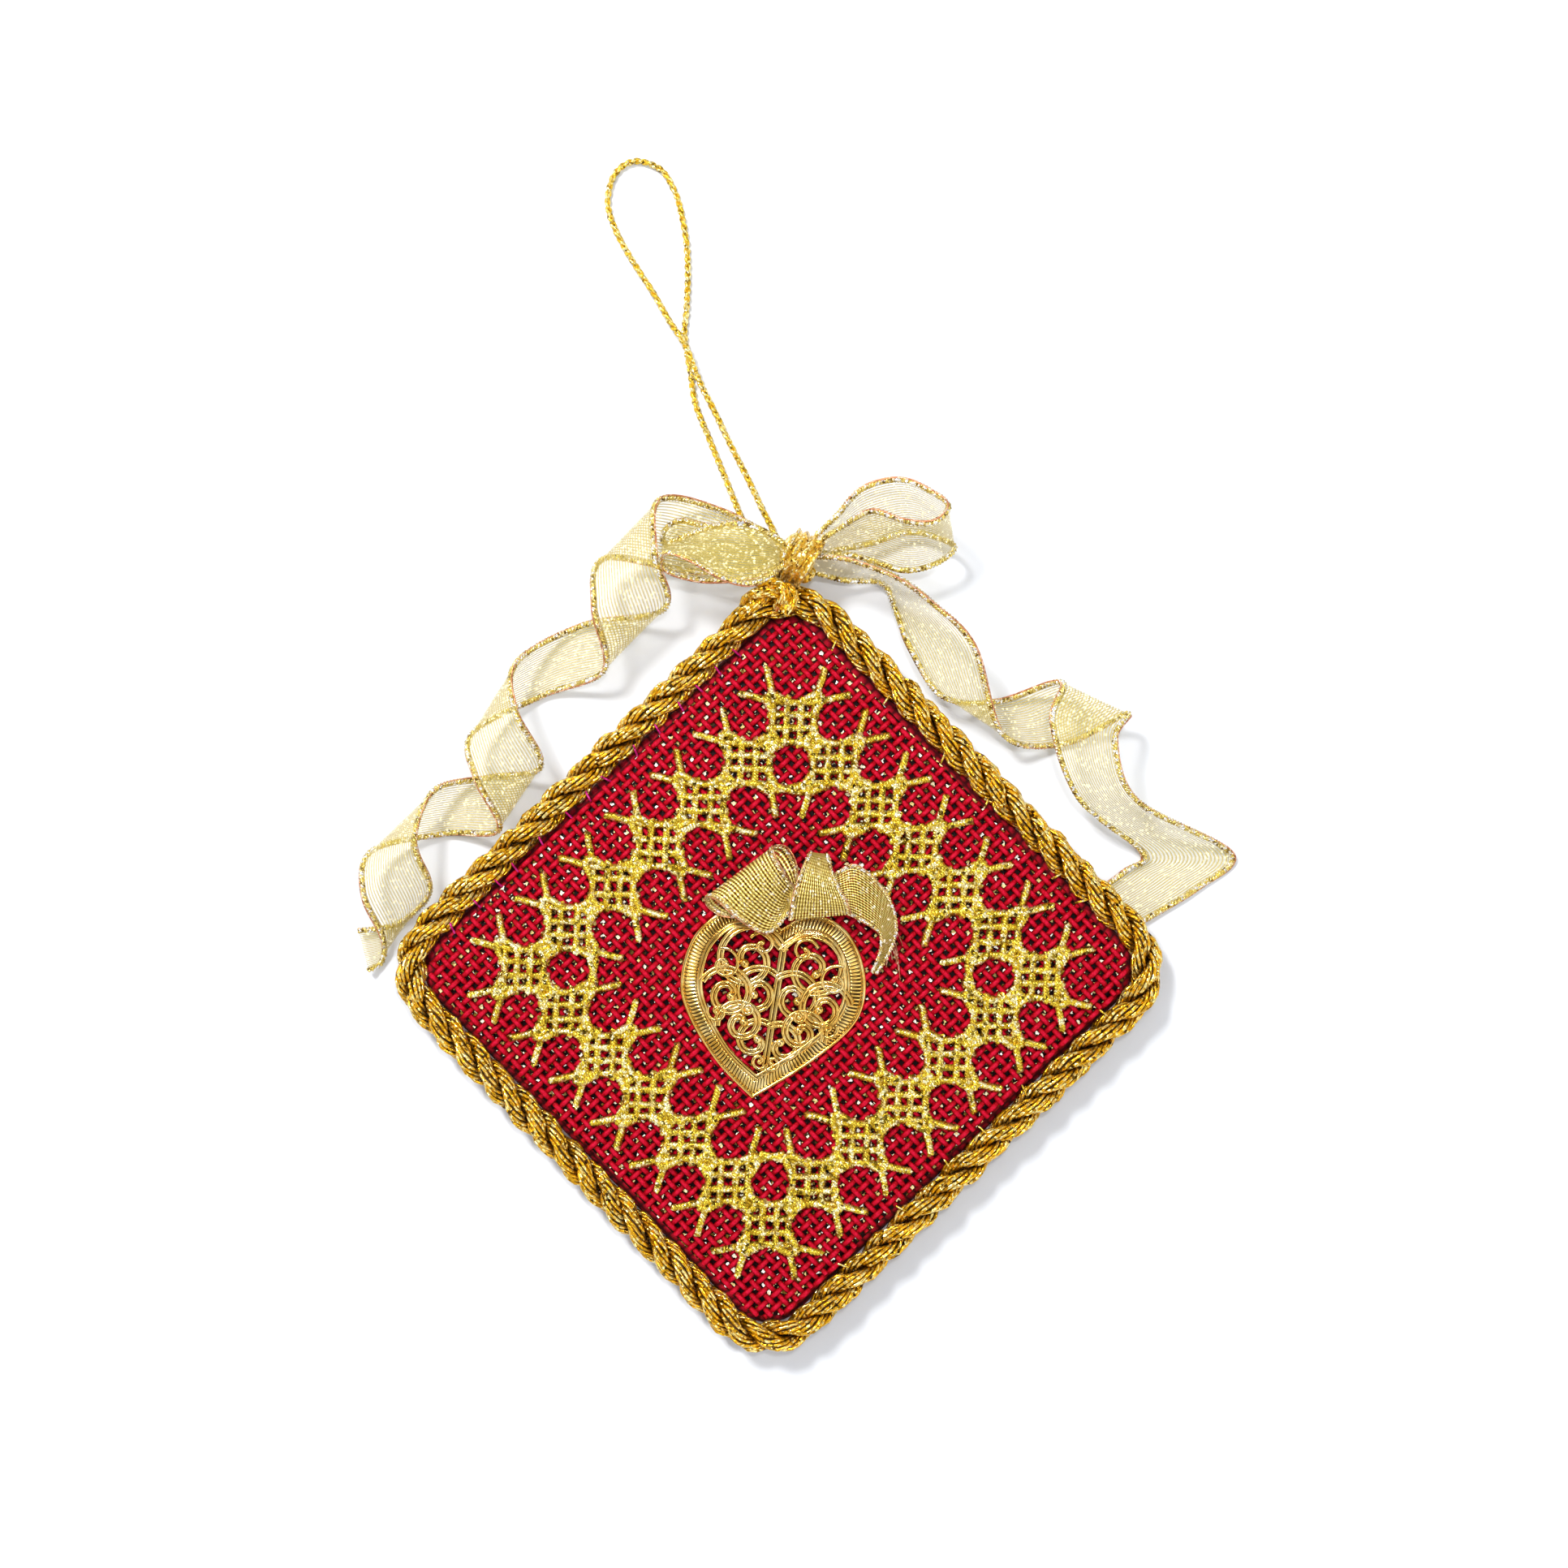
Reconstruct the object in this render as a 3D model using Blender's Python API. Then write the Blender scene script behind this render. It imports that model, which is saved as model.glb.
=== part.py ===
"""Heart ornament: a needlework pad hung by one corner, with a ring of gold stars, a stamped
heart charm under a small bow, a twisted rope edging, and a wired ribbon bow with curled tails.

Metres, +Z up. The pad lies on its flat back at z = 0, with the origin at the centre of that back.
+Y points to the corner that the ornament hangs by.
"""

from math import cos, pi, radians, sin

import bmesh
import bpy
from mathutils import Matrix, Vector
from mathutils.geometry import delaunay_2d_cdt

MM = 0.001
FIT_GAP = 0.3 * MM

# The rope edging: its middle line is a rounded rectangle, turned so that one corner points up
EDGING_LENGTH = 79.9 * MM
EDGING_WIDTH = 77.6 * MM
EDGING_TURN = radians(44.1)
EDGING_CORNER_RADIUS = 8.0 * MM
ROPE_WIDE = 4.7 * MM
ROPE_BETWEEN_STRANDS = 3.7 * MM
ROPE_LAY = 15.3 * MM
ROPE_HEIGHT = 4.05 * MM
ROPE_STRANDS = 3
ROPE_STEPS_A_LAY = 9
ROPE_SIDES_A_STRAND = 3

# The pad fits inside the edging
PAD_EDGE_TOP = 4.9 * MM
PAD_DOME = 2.0 * MM
PAD_DOME_POWER = 4
PAD_EDGE_ROUND = 1.3 * MM
PAD_BACK_ROUND = 0.9 * MM

# Embroidery: stars on a lattice that runs along the canvas's diagonals
STITCH_ACROSS = Vector((2.016, -0.032)) * MM
STITCH_UP = Vector((0.095, 1.972)) * MM
RING_CENTRE = Vector((0.35, -0.36)) * MM
STARS_A_SIDE = 6
STAR_PITCH = 3
STITCHING_THICKNESS = 1.1 * MM
STAR_TIP = Vector((2.0, 4.3))
STAR_SHOULDER = Vector((1.45, 2.45))
STAR_VALLEY = 1.95
STAR_CORNER = 2.3

# The heart charm, placed by its middle
HEART_CENTRE = Vector((-0.7, -5.6)) * MM
HEART_RIM_WIDTH = 1.0 * MM
HEART_BAND_WIDTH = 1.7 * MM
HEART_BORDER_WIDTH = 0.7 * MM
HEART_RIM_THICKNESS = 0.8 * MM
HEART_BAND_THICKNESS = 1.5 * MM
HEART_BORDER_THICKNESS = 1.8 * MM
SCROLL_DIAMETER = 1.1 * MM
SCROLL_HEIGHT = 0.85 * MM
HEART_TILT = radians(-9.0)

# The heart's outline in millimetres from its middle, from the cleft down each side to the tip
HEART_RIGHT = ((1.1, 11.7), (5.4, 13.6), (10.4, 11.3), (13.0, 5.1), (11.8, -1.5), (5.4, -7.3), (-3.1, -12.5))
HEART_LEFT = (
    (-3.1, -12.5), (-8.1, -7.3), (-12.2, -0.6), (-13.2, 4.6),
    (-11.1, 10.9), (-5.7, 14.9), (-0.9, 13.6), (1.1, 11.7),
)

# The opening's outline, with a point facing each of the outer outline's
OPENING_RIGHT = ((0.7, 8.4), (4.4, 10.5), (8.0, 9.2), (9.8, 4.6), (8.7, -0.4), (3.8, -5.0), (-2.4, -8.8))
OPENING_LEFT = (
    (-2.4, -8.8), (-6.1, -5.2), (-9.1, 0.2), (-9.9, 4.4),
    (-8.6, 9.0), (-5.2, 11.7), (-1.7, 10.6), (0.7, 8.4),
)

# Scrolls on the right of the heart's own axis, in millimetres: start, middle and turns
SCROLLS = (
    ((-0.3, 8.6), (4.6, 6.6), -1.25),
    ((10.6, 2.6), (6.8, 1.4), 1.2),
    ((-0.3, 4.6), (2.7, 2.2), -1.2),
    ((7.6, -3.3), (4.3, -2.4), 1.15),
    ((-0.3, -2.2), (1.9, -4.6), -0.8),
)
SCROLL_STEM = ((0.0, 9.6), (0.0, -9.6))
SCROLL_STEM_DIAMETER = 1.3 * MM
SCROLL_STAGGER = 0.03 * MM

# Ribbon of the large bow and of the charm's bow
RIBBON_THICKNESS = 0.4 * MM
CHARM_RIBBON_THICKNESS = 0.35 * MM
KNOT_CENTRE = Vector((1.0, -0.4, 6.1)) * MM
KNOT_RADII = Vector((2.6, 3.5, 3.2)) * MM
KNOT_BULGE_CENTRE = Vector((1.9, -2.7, 4.9)) * MM
KNOT_BULGE_RADII = Vector((1.5, 1.4, 1.5)) * MM
CHARM_KNOT_CENTRE = Vector((3.2, 15.4, 3.3)) * MM
CHARM_KNOT_RADII = Vector((1.5, 2.1, 1.5)) * MM

# The hanging cord
CORD_DIAMETER = 1.0 * MM

# Each ribbon is a list of straight lines across it, from one woven edge to the other, in
# millimetres from the edging's outer corner in plan and from the floor in height
LEFT_TAIL = (
    ((0.1, -1.6, 5.2), (-0.3, 1.2, 6.0)),
    ((-13.1, -2.9, 1.3), (-9.5, 6.9, 1.8)),
    ((-26.8, -1.2, 5.6), (-18.1, 8.2, 5.6)),
    ((-28.1, -8.3, 10.8), (-18.5, -0.1, 10.8)),
    ((-27.0, -17.0, 5.4), (-17.4, -7.3, 5.4)),
    ((-36.0, -20.6, 0.8), (-29.4, -9.2, 0.8)),
    ((-45.7, -26.2, 5.0), (-38.5, -14.7, 5.0)),
    ((-44.5, -32.4, 9.6), (-38.3, -21.8, 9.6)),
    ((-41.8, -39.7, 4.8), (-35.1, -29.6, 4.8)),
    ((-50.0, -40.3, 0.8), (-43.1, -31.2, 0.8)),
    ((-60.1, -42.7, 4.6), (-50.1, -33.0, 4.6)),
    ((-60.7, -48.5, 7.8), (-52.6, -40.3, 7.8)),
    ((-58.7, -54.9, 2.8), (-51.1, -47.5, 2.8)),
    ((-58.8, -58.4, 0.7), (-56.2, -52.3, 0.7)),
    ((-60.4, -59.7, 1.6), (-62.0, -53.3, 1.6)),
)
RIGHT_TAIL = (
    ((1.8, -2.3, 4.6), (2.0, -0.5, 7.4)),
    ((7.6, -3.7, 2.0), (7.8, -1.0, 10.4)),
    ((13.0, -4.0, 0.9), (15.1, -3.9, 11.0)),
    ((14.7, -8.0, 1.6), (20.4, -7.6, 11.0)),
    ((16.4, -13.3, 3.6), (26.2, -13.3, 9.6)),
    ((21.0, -19.9, 5.2), (30.7, -26.0, 5.2)),
    ((29.2, -20.4, 0.8), (39.7, -27.3, 0.8)),
    ((37.8, -17.9, 5.0), (48.3, -23.0, 5.0)),
    ((36.1, -23.9, 9.4), (46.0, -26.6, 9.4)),
    ((40.2, -34.7, 6.6), (49.2, -35.0, 8.0)),
    ((49.7, -42.5, 1.4), (63.9, -42.6, 1.0)),
    ((47.5, -44.9, 0.6), (58.9, -47.9, 0.5)),
    ((44.2, -47.4, 0.7), (50.3, -53.0, 0.7)),
)
RIGHT_LOOP = (
    ((2.5, 1.7, 6.0), (2.5, -0.7, 5.0)),
    ((6.4, 5.3, 9.0), (6.5, 0.3, 4.0)),
    ((9.9, 9.2, 9.8), (11.1, 1.1, 2.4)),
    ((15.4, 10.4, 10.4), (17.0, 2.9, 1.8)),
    ((20.1, 8.2, 11.4), (21.4, 1.9, 2.6)),
    ((21.8, 6.2, 13.2), (23.3, 0.4, 4.4)),
    ((19.7, 4.0, 14.2), (20.4, -1.9, 5.6)),
    ((15.8, 4.2, 14.0), (16.2, -2.9, 5.6)),
    ((11.2, 5.7, 13.0), (12.1, -1.7, 5.2)),
    ((7.4, 3.8, 10.4), (8.2, -0.4, 5.2)),
    ((2.9, 0.9, 7.4), (2.9, -0.6, 6.4)),
)
LEFT_LOOP = (
    ((-0.7, 1.5, 5.4), (-0.7, -1.5, 6.2)),
    ((-5.7, 4.0, 3.9), (-5.1, -3.9, 7.8)),
    ((-12.3, 4.7, 3.4), (-11.2, -4.6, 8.4)),
    ((-16.0, 5.3, 3.8), (-15.3, -4.0, 8.8)),
    ((-18.0, 3.7, 4.6), (-17.9, -2.8, 10.6)),
    ((-17.8, 1.5, 5.0), (-17.5, -0.8, 14.0)),
    ((-14.3, 2.8, 6.2), (-14.2, -1.9, 15.0)),
    ((-9.4, 4.4, 8.2), (-9.2, -4.8, 14.4)),
    ((-4.6, 3.8, 8.8), (-4.8, -5.2, 12.6)),
    ((-0.5, 1.1, 7.6), (-0.5, -1.4, 7.4)),
)

# The charm's bow, in millimetres from the heart's middle in plan and above its back in height
CHARM_LEFT = (
    ((2.3, 14.2, 3.2), (3.3, 17.2, 3.2)),
    ((-0.9, 10.8, 3.6), (2.6, 18.3, 4.2)),
    ((-5.1, 12.9, 4.6), (1.3, 20.4, 5.0)),
    ((-8.2, 15.6, 4.4), (0.2, 22.6, 4.6)),
    ((-9.9, 15.8, 3.0), (0.4, 23.5, 3.4)),
    ((-9.2, 14.1, 1.9), (2.2, 23.3, 2.4)),
    ((-6.0, 13.0, 2.3), (3.5, 20.8, 2.8)),
    ((1.6, 14.3, 2.8), (3.5, 17.0, 3.0)),
)
CHARM_MIDDLE = (
    ((2.6, 15.3, 3.4), (4.7, 15.3, 3.4)),
    ((4.2, 17.8, 4.0), (7.8, 17.4, 4.2)),
    ((4.4, 21.2, 3.2), (8.1, 20.8, 3.2)),
    ((5.1, 22.4, 4.0), (7.6, 22.0, 4.0)),
    ((4.0, 20.6, 5.6), (8.5, 19.0, 5.8)),
    ((2.6, 16.8, 6.0), (10.3, 15.7, 6.2)),
    ((1.9, 12.9, 4.6), (11.0, 13.8, 5.2)),
)
CHARM_RIGHT = (
    ((3.4, 14.2, 2.7), (4.4, 16.6, 2.9)),
    ((9.5, 13.7, 2.5), (8.7, 19.7, 3.4)),
    ((12.2, 12.5, 2.5), (11.7, 20.8, 4.0)),
    ((14.7, 10.9, 2.3), (15.8, 16.9, 3.6)),
    ((15.0, 9.3, 1.9), (17.3, 12.1, 2.8)),
    ((14.6, 7.4, 1.3), (16.3, 8.2, 1.8)),
    ((13.8, 5.4, 0.8), (14.5, 5.2, 1.1)),
)

# The hanging cord's route, measured as the large bow is
CORD_ROUTE = (
    (-1.7, -7.4, 0.9), (-2.0, -4.1, 0.9), (-3.9, -0.6, 0.8), (-5.8, 3.1, 0.6), (-7.4, 6.3, 0.5),
    (-9.4, 11.2, 0.5), (-11.8, 17.1, 0.5), (-13.7, 21.9, 0.5), (-14.4, 26.3, 0.5),
    (-15.0, 29.7, 0.5), (-15.3, 32.3, 0.5), (-15.0, 35.3, 0.5), (-14.8, 40.6, 0.5),
    (-15.0, 45.0, 0.5), (-15.7, 49.1, 0.5), (-16.5, 52.0, 0.5), (-18.1, 55.0, 0.5),
    (-19.8, 56.2, 0.5), (-22.1, 56.8, 0.5), (-24.3, 56.0, 0.5), (-25.7, 54.1, 0.5),
    (-26.3, 51.3, 0.5), (-25.9, 48.7, 0.5), (-24.4, 45.3, 0.5), (-22.2, 41.6, 0.5),
    (-19.8, 37.9, 0.6), (-17.4, 33.7, 1.0), (-15.8, 31.3, 1.6), (-14.7, 29.2, 1.75),
    (-13.6, 26.2, 1.5), (-12.5, 23.8, 1.0), (-11.0, 20.9, 0.6), (-8.8, 16.3, 0.5),
    (-6.2, 11.2, 0.5), (-4.0, 6.6, 0.5), (-2.4, 3.4, 0.6), (-1.0, -0.6, 0.8),
    (-0.3, -4.1, 0.9), (0.0, -7.4, 0.9),
)

ALONG = Vector((cos(EDGING_TURN), sin(EDGING_TURN)))
ACROSS = Vector((-sin(EDGING_TURN), cos(EDGING_TURN)))
PAD_HALF_LENGTH = (EDGING_LENGTH - ROPE_WIDE) / 2 - FIT_GAP
PAD_HALF_WIDTH = (EDGING_WIDTH - ROPE_WIDE) / 2 - FIT_GAP
PAD_CORNER_RADIUS = EDGING_CORNER_RADIUS - ROPE_WIDE / 2 - FIT_GAP


def clear_scene():
    for obj in list(bpy.data.objects):
        bpy.data.objects.remove(obj, do_unlink=True)


def new_collection(name):
    collection = bpy.data.collections.new(name)
    bpy.context.scene.collection.children.link(collection)
    return collection


def material(name, colour, roughness, metallic):
    made = bpy.data.materials.new(name)
    made.use_nodes = True
    shader = made.node_tree.nodes["Principled BSDF"]
    shader.inputs["Base Color"].default_value = (*colour, 1.0)
    shader.inputs["Roughness"].default_value = roughness
    shader.inputs["Metallic"].default_value = metallic
    made.diffuse_color = (*colour, 1.0)
    return made


def add_object(name, data, collection, surface=None):
    obj = bpy.data.objects.new(name, data)
    collection.objects.link(obj)
    if surface:
        data.materials.append(surface)
    return obj


def mesh_of(bm, name):
    bmesh.ops.recalc_face_normals(bm, faces=bm.faces)
    mesh = bpy.data.meshes.new(name)
    bm.to_mesh(mesh)
    bm.free()
    mesh.shade_smooth()
    mesh.set_sharp_from_angle(angle=radians(40))
    return mesh


def outer_corner():
    """The sharp corner at which the edging's two upper outer sides would meet."""
    half_length = (EDGING_LENGTH + ROPE_WIDE) / 2
    half_width = (EDGING_WIDTH + ROPE_WIDE) / 2
    return ALONG * half_length + ACROSS * half_width


def smooth_curve(points, steps):
    """Points on a Catmull-Rom curve through the given ones, with this many steps between two."""
    made = []
    last = len(points) - 1
    for i in range(last):
        before = points[max(i - 1, 0)]
        start = points[i]
        end = points[i + 1]
        after = points[min(i + 2, last)]
        for step in range(steps):
            t = step / steps
            made.append(
                0.5 * (2 * start + (end - before) * t
                       + (2 * before - 5 * start + 4 * end - after) * t * t
                       + (3 * start - before - 3 * end + after) * t * t * t)
            )
    made.append(points[-1].copy())
    return made


def rounded_rectangle(half_length, half_width, radius, corner_steps, side_steps):
    """(point, outward direction) pairs round a rectangle lying along ALONG and ACROSS."""
    found = []
    for quarter in range(4):
        signs = ((1, 1), (-1, 1), (-1, -1), (1, -1))[quarter]
        middle = Vector((signs[0] * (half_length - radius), signs[1] * (half_width - radius)))
        for step in range(corner_steps + 1):
            angle = (quarter + step / corner_steps) * pi / 2
            out = Vector((cos(angle), sin(angle)))
            found.append((middle + out * radius, out))
        run = (half_width if quarter % 2 else half_length) - radius
        start = found[-1][0]
        out = found[-1][1]
        direction = Vector((-out.y, out.x))
        for step in range(1, side_steps):
            found.append((start + direction * (2 * run * step / side_steps), out))
    return [(ALONG * p.x + ACROSS * p.y, ALONG * n.x + ACROSS * n.y) for p, n in found]


def front_height(point):
    """Height of the pad's domed front above its back."""
    along = min(abs(point.dot(ALONG)) / PAD_HALF_LENGTH, 1.0)
    across = min(abs(point.dot(ACROSS)) / PAD_HALF_WIDTH, 1.0)
    fall = (1 - along ** PAD_DOME_POWER) * (1 - across ** PAD_DOME_POWER)
    return PAD_EDGE_TOP + PAD_DOME * fall


def skin(bm, rings, closed=True):
    """Faces between rings of vertices, each ring running round the shape."""
    count = len(rings[0])
    last = len(rings) if closed else len(rings) - 1
    for k in range(last):
        ring = rings[k]
        following = rings[(k + 1) % len(rings)]
        for i in range(count):
            j = (i + 1) % count
            bm.faces.new((ring[i], ring[j], following[j], following[i]))


def make_pad(collection, surface):
    """The filled pad: a flat back, a rounded edge and a domed front, in rings of one outline."""
    insets = (
        (PAD_BACK_ROUND, 0.0), (PAD_BACK_ROUND * 0.3, PAD_BACK_ROUND * 0.5), (0.0, PAD_BACK_ROUND * 1.6),
        (0.0, PAD_EDGE_TOP - PAD_EDGE_ROUND), (PAD_EDGE_ROUND * 0.3, PAD_EDGE_TOP - PAD_EDGE_ROUND * 0.3),
    )
    front_insets = [PAD_HALF_WIDTH * share for share in (0.035, 0.1, 0.2, 0.33, 0.5, 0.7, 0.9)]
    bm = bmesh.new()
    rings = []
    for inset, height in insets:
        outline = rounded_rectangle(
            PAD_HALF_LENGTH - inset, PAD_HALF_WIDTH - inset, PAD_CORNER_RADIUS - inset, 3, 5
        )
        rings.append([bm.verts.new((p.x, p.y, height)) for p, _ in outline])
    for inset in front_insets:
        radius = max(PAD_CORNER_RADIUS - inset, 0.5 * MM)
        outline = rounded_rectangle(PAD_HALF_LENGTH - inset, PAD_HALF_WIDTH - inset, radius, 3, 5)
        rings.append([bm.verts.new((p.x, p.y, front_height(p))) for p, _ in outline])
    skin(bm, rings, closed=False)
    bm.faces.new(rings[0])
    crown = bm.verts.new((0, 0, front_height(Vector((0, 0)))))
    last = rings[-1]
    for i in range(len(last)):
        bm.faces.new((last[i], last[(i + 1) % len(last)], crown))
    return add_object("padded_square", mesh_of(bm, "padded_square"), collection, surface)


def edging_path(spacing):
    """Evenly spaced (point, outward direction) pairs round the edging's middle line."""
    outline = rounded_rectangle(
        EDGING_LENGTH / 2, EDGING_WIDTH / 2, EDGING_CORNER_RADIUS, 12, 12
    )
    lengths = [0.0]
    for i in range(len(outline)):
        following = outline[(i + 1) % len(outline)][0]
        lengths.append(lengths[-1] + (following - outline[i][0]).length)
    count = round(lengths[-1] / spacing)
    found = []
    piece = 0
    for k in range(count):
        target = lengths[-1] * k / count
        while lengths[piece + 1] < target:
            piece += 1
        share = (target - lengths[piece]) / (lengths[piece + 1] - lengths[piece])
        here = outline[piece]
        following = outline[(piece + 1) % len(outline)]
        point = here[0].lerp(following[0], share)
        found.append((point, here[1].lerp(following[1], share).normalized()))
    return found


def make_rope(collection, surface):
    """Three laid strands as one body: a three-lobed section that turns once in each lay."""
    path = edging_path(ROPE_LAY / ROPE_STEPS_A_LAY)
    lumps = round(ROPE_STRANDS * len(path) / ROPE_STEPS_A_LAY)
    sides = ROPE_STRANDS * ROPE_SIDES_A_STRAND
    bm = bmesh.new()
    rings = []
    for k, (point, out) in enumerate(path):
        turn = -2 * pi * lumps * k / (ROPE_STRANDS * len(path))
        ring = []
        for side in range(sides):
            angle = 2 * pi * side / sides + turn
            reach = (ROPE_BETWEEN_STRANDS if side % ROPE_SIDES_A_STRAND else ROPE_WIDE) / 2
            place = point + out * (reach * cos(angle))
            ring.append(bm.verts.new((place.x, place.y, ROPE_HEIGHT + reach * sin(angle))))
        rings.append(ring)
    shift = ROPE_SIDES_A_STRAND * lumps
    rings.append([rings[0][(side - shift) % sides] for side in range(sides)])
    skin(bm, rings, closed=False)
    return add_object("edging_rope", mesh_of(bm, "edging_rope"), collection, surface)


def star_outline():
    """The eight-pointed star's outline in stitch units, as eight mirrored copies of one stretch."""
    quarter = [
        Vector((STAR_VALLEY, 0)), Vector((STAR_SHOULDER.y, STAR_SHOULDER.x)),
        Vector((STAR_TIP.y, STAR_TIP.x)), Vector((STAR_CORNER, STAR_CORNER)),
        Vector((STAR_TIP.x, STAR_TIP.y)), Vector((STAR_SHOULDER.x, STAR_SHOULDER.y)),
    ]
    found = []
    for turn in range(4):
        for point in quarter:
            found.append(Matrix.Rotation(turn * pi / 2, 2) @ point)
    return found


def star_centres():
    """Middles of the stars round the ring, in stitch units."""
    reach = STARS_A_SIDE * STAR_PITCH
    found = []
    for k in range(STARS_A_SIDE):
        step = STAR_PITCH * k
        found += [
            Vector((-step, reach - step)), Vector((step - reach, -step)),
            Vector((step, step - reach)), Vector((reach - step, step)),
        ]
    return found


def make_embroidery(collection, surface):
    """The ring of stars as one raised plate, laid on the domed pad."""
    outline = star_outline()
    corners = []
    loops = []
    for centre in star_centres():
        first = len(corners)
        for point in outline:
            units = centre + point
            corners.append(RING_CENTRE + STITCH_ACROSS * units.x + STITCH_UP * units.y)
        loops.append(list(range(first, len(corners))))
    points, _, triangles, _, _, stars_of = delaunay_2d_cdt(corners, [], loops, 1, 0.001 * MM)
    bm = bmesh.new()
    placed = [bm.verts.new((*point, 0)) for point in points]
    for triangle, stars in zip(triangles, stars_of):
        if stars:
            bm.faces.new([placed[i] for i in triangle])
    bmesh.ops.delete(bm, geom=[v for v in bm.verts if not v.link_faces], context="VERTS")
    lifted = bmesh.ops.extrude_face_region(bm, geom=bm.faces[:])
    tops = [v for v in lifted["geom"] if isinstance(v, bmesh.types.BMVert)]
    bmesh.ops.translate(bm, verts=tops, vec=(0, 0, STITCHING_THICKNESS))
    for vertex in bm.verts:
        vertex.co.z += front_height(Vector(vertex.co.xy)) + FIT_GAP
    return add_object("embroidery", mesh_of(bm, "embroidery"), collection, surface)


def union_of(pieces, name):
    """One mesh from overlapping closed pieces; the pieces are removed."""
    first = pieces[0]
    for other in pieces[1:]:
        join = first.modifiers.new(f"join {other.name}", "BOOLEAN")
        join.operation = "UNION"
        join.solver = "EXACT"
        join.object = other
    graph = bpy.context.evaluated_depsgraph_get()
    mesh = bpy.data.meshes.new_from_object(first.evaluated_get(graph))
    mesh.name = name
    bm = bmesh.new()
    bm.from_mesh(mesh)
    bmesh.ops.remove_doubles(bm, verts=bm.verts, dist=0.002 * MM)
    bm.to_mesh(mesh)
    bm.free()
    mesh.materials.clear()
    for piece in pieces:
        bpy.data.objects.remove(piece, do_unlink=True)
    mesh.shade_smooth()
    mesh.set_sharp_from_angle(angle=radians(40))
    return mesh


def heart_outline(right, left, steps):
    """A closed outline in metres, running clockwise from the cleft."""
    first = smooth_curve([Vector(p) * MM for p in right], steps)
    second = smooth_curve([Vector(p) * MM for p in left], steps)
    return first[:-1] + second[:-1]


def heart_base():
    return front_height(HEART_CENTRE) + FIT_GAP


def make_heart_frame(cutters):
    """The pressed frame: a plain rim, a sloping band and a raised border round the opening."""
    outer = heart_outline(HEART_RIGHT, HEART_LEFT, 3)
    inner = heart_outline(OPENING_RIGHT, OPENING_LEFT, 3)
    frame_width = HEART_RIM_WIDTH + HEART_BAND_WIDTH + HEART_BORDER_WIDTH
    rim_end = HEART_RIM_WIDTH / frame_width
    band_end = (HEART_RIM_WIDTH + HEART_BAND_WIDTH) / frame_width
    profile = (
        (0.0, 0.0), (0.0, HEART_RIM_THICKNESS), (rim_end, HEART_RIM_THICKNESS),
        (band_end, HEART_BAND_THICKNESS), (band_end, HEART_BORDER_THICKNESS),
        (1.0, HEART_BORDER_THICKNESS), (1.0, 0.0),
    )
    bm = bmesh.new()
    rings = []
    for share, height in profile:
        ring = []
        for outside, inside in zip(outer, inner):
            place = HEART_CENTRE + outside.lerp(inside, share)
            ring.append(bm.verts.new((place.x, place.y, heart_base() + height)))
        rings.append(ring)
    skin(bm, rings)
    return add_object("heart_frame", mesh_of(bm, "heart_frame"), cutters)


def volute(start, middle, turns, steps):
    """A spiral from a start point into its middle, in millimetres."""
    arm = start - middle
    found = []
    for step in range(steps + 1):
        share = step / steps
        turned = Matrix.Rotation(2 * pi * turns * share, 2) @ arm
        found.append(middle + turned * (1 - 0.68 * share))
    return found


def tube(name, points, diameter, resolution, cutters):
    """A closed round bar along the points, as a welded mesh."""
    curve = bpy.data.curves.new(name, "CURVE")
    curve.dimensions = "3D"
    curve.bevel_depth = diameter / 2
    curve.bevel_resolution = resolution
    curve.use_fill_caps = True
    spline = curve.splines.new("POLY")
    spline.points.add(len(points) - 1)
    for target, point in zip(spline.points, points):
        target.co = (*point, 1.0)
    holder = add_object(f"{name} curve", curve, cutters)
    graph = bpy.context.evaluated_depsgraph_get()
    mesh = bpy.data.meshes.new_from_object(holder.evaluated_get(graph))
    bm = bmesh.new()
    bm.from_mesh(mesh)
    bmesh.ops.remove_doubles(bm, verts=bm.verts, dist=0.002 * MM)
    made = add_object(name, mesh_of(bm, name), cutters)
    bpy.data.objects.remove(holder, do_unlink=True)
    return made


def make_heart(collection, cutters, surface):
    """The openwork heart: its frame joined to mirrored scrolls and a stem."""
    pieces = [make_heart_frame(cutters)]
    height = heart_base() + SCROLL_HEIGHT
    tilt = Matrix.Rotation(HEART_TILT, 2)

    def place(point, side, lift):
        local = tilt @ Vector((point.x * side, point.y))
        on_heart = HEART_CENTRE + local * MM
        return Vector((on_heart.x, on_heart.y, height + lift))

    top = Vector(SCROLL_STEM[0])
    foot = Vector(SCROLL_STEM[1])
    stem = [place(top.lerp(foot, k / 3), 1, 0) for k in range(4)]
    pieces.append(tube("scroll_stem", stem, SCROLL_STEM_DIAMETER, 1, cutters))
    # Each bar lies a little higher than the last, so that no two share a flat face
    for number, (start, middle, turns) in enumerate(SCROLLS):
        for side in (1, -1):
            lift = SCROLL_STAGGER * (len(pieces) - 5)
            line = [place(p, side, lift) for p in volute(Vector(start), Vector(middle), turns, 11)]
            pieces.append(tube(f"scroll_{number}_{side}", line, SCROLL_DIAMETER, 1, cutters))
    return add_object("heart_charm", union_of(pieces, "heart_charm"), collection, surface)


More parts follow.
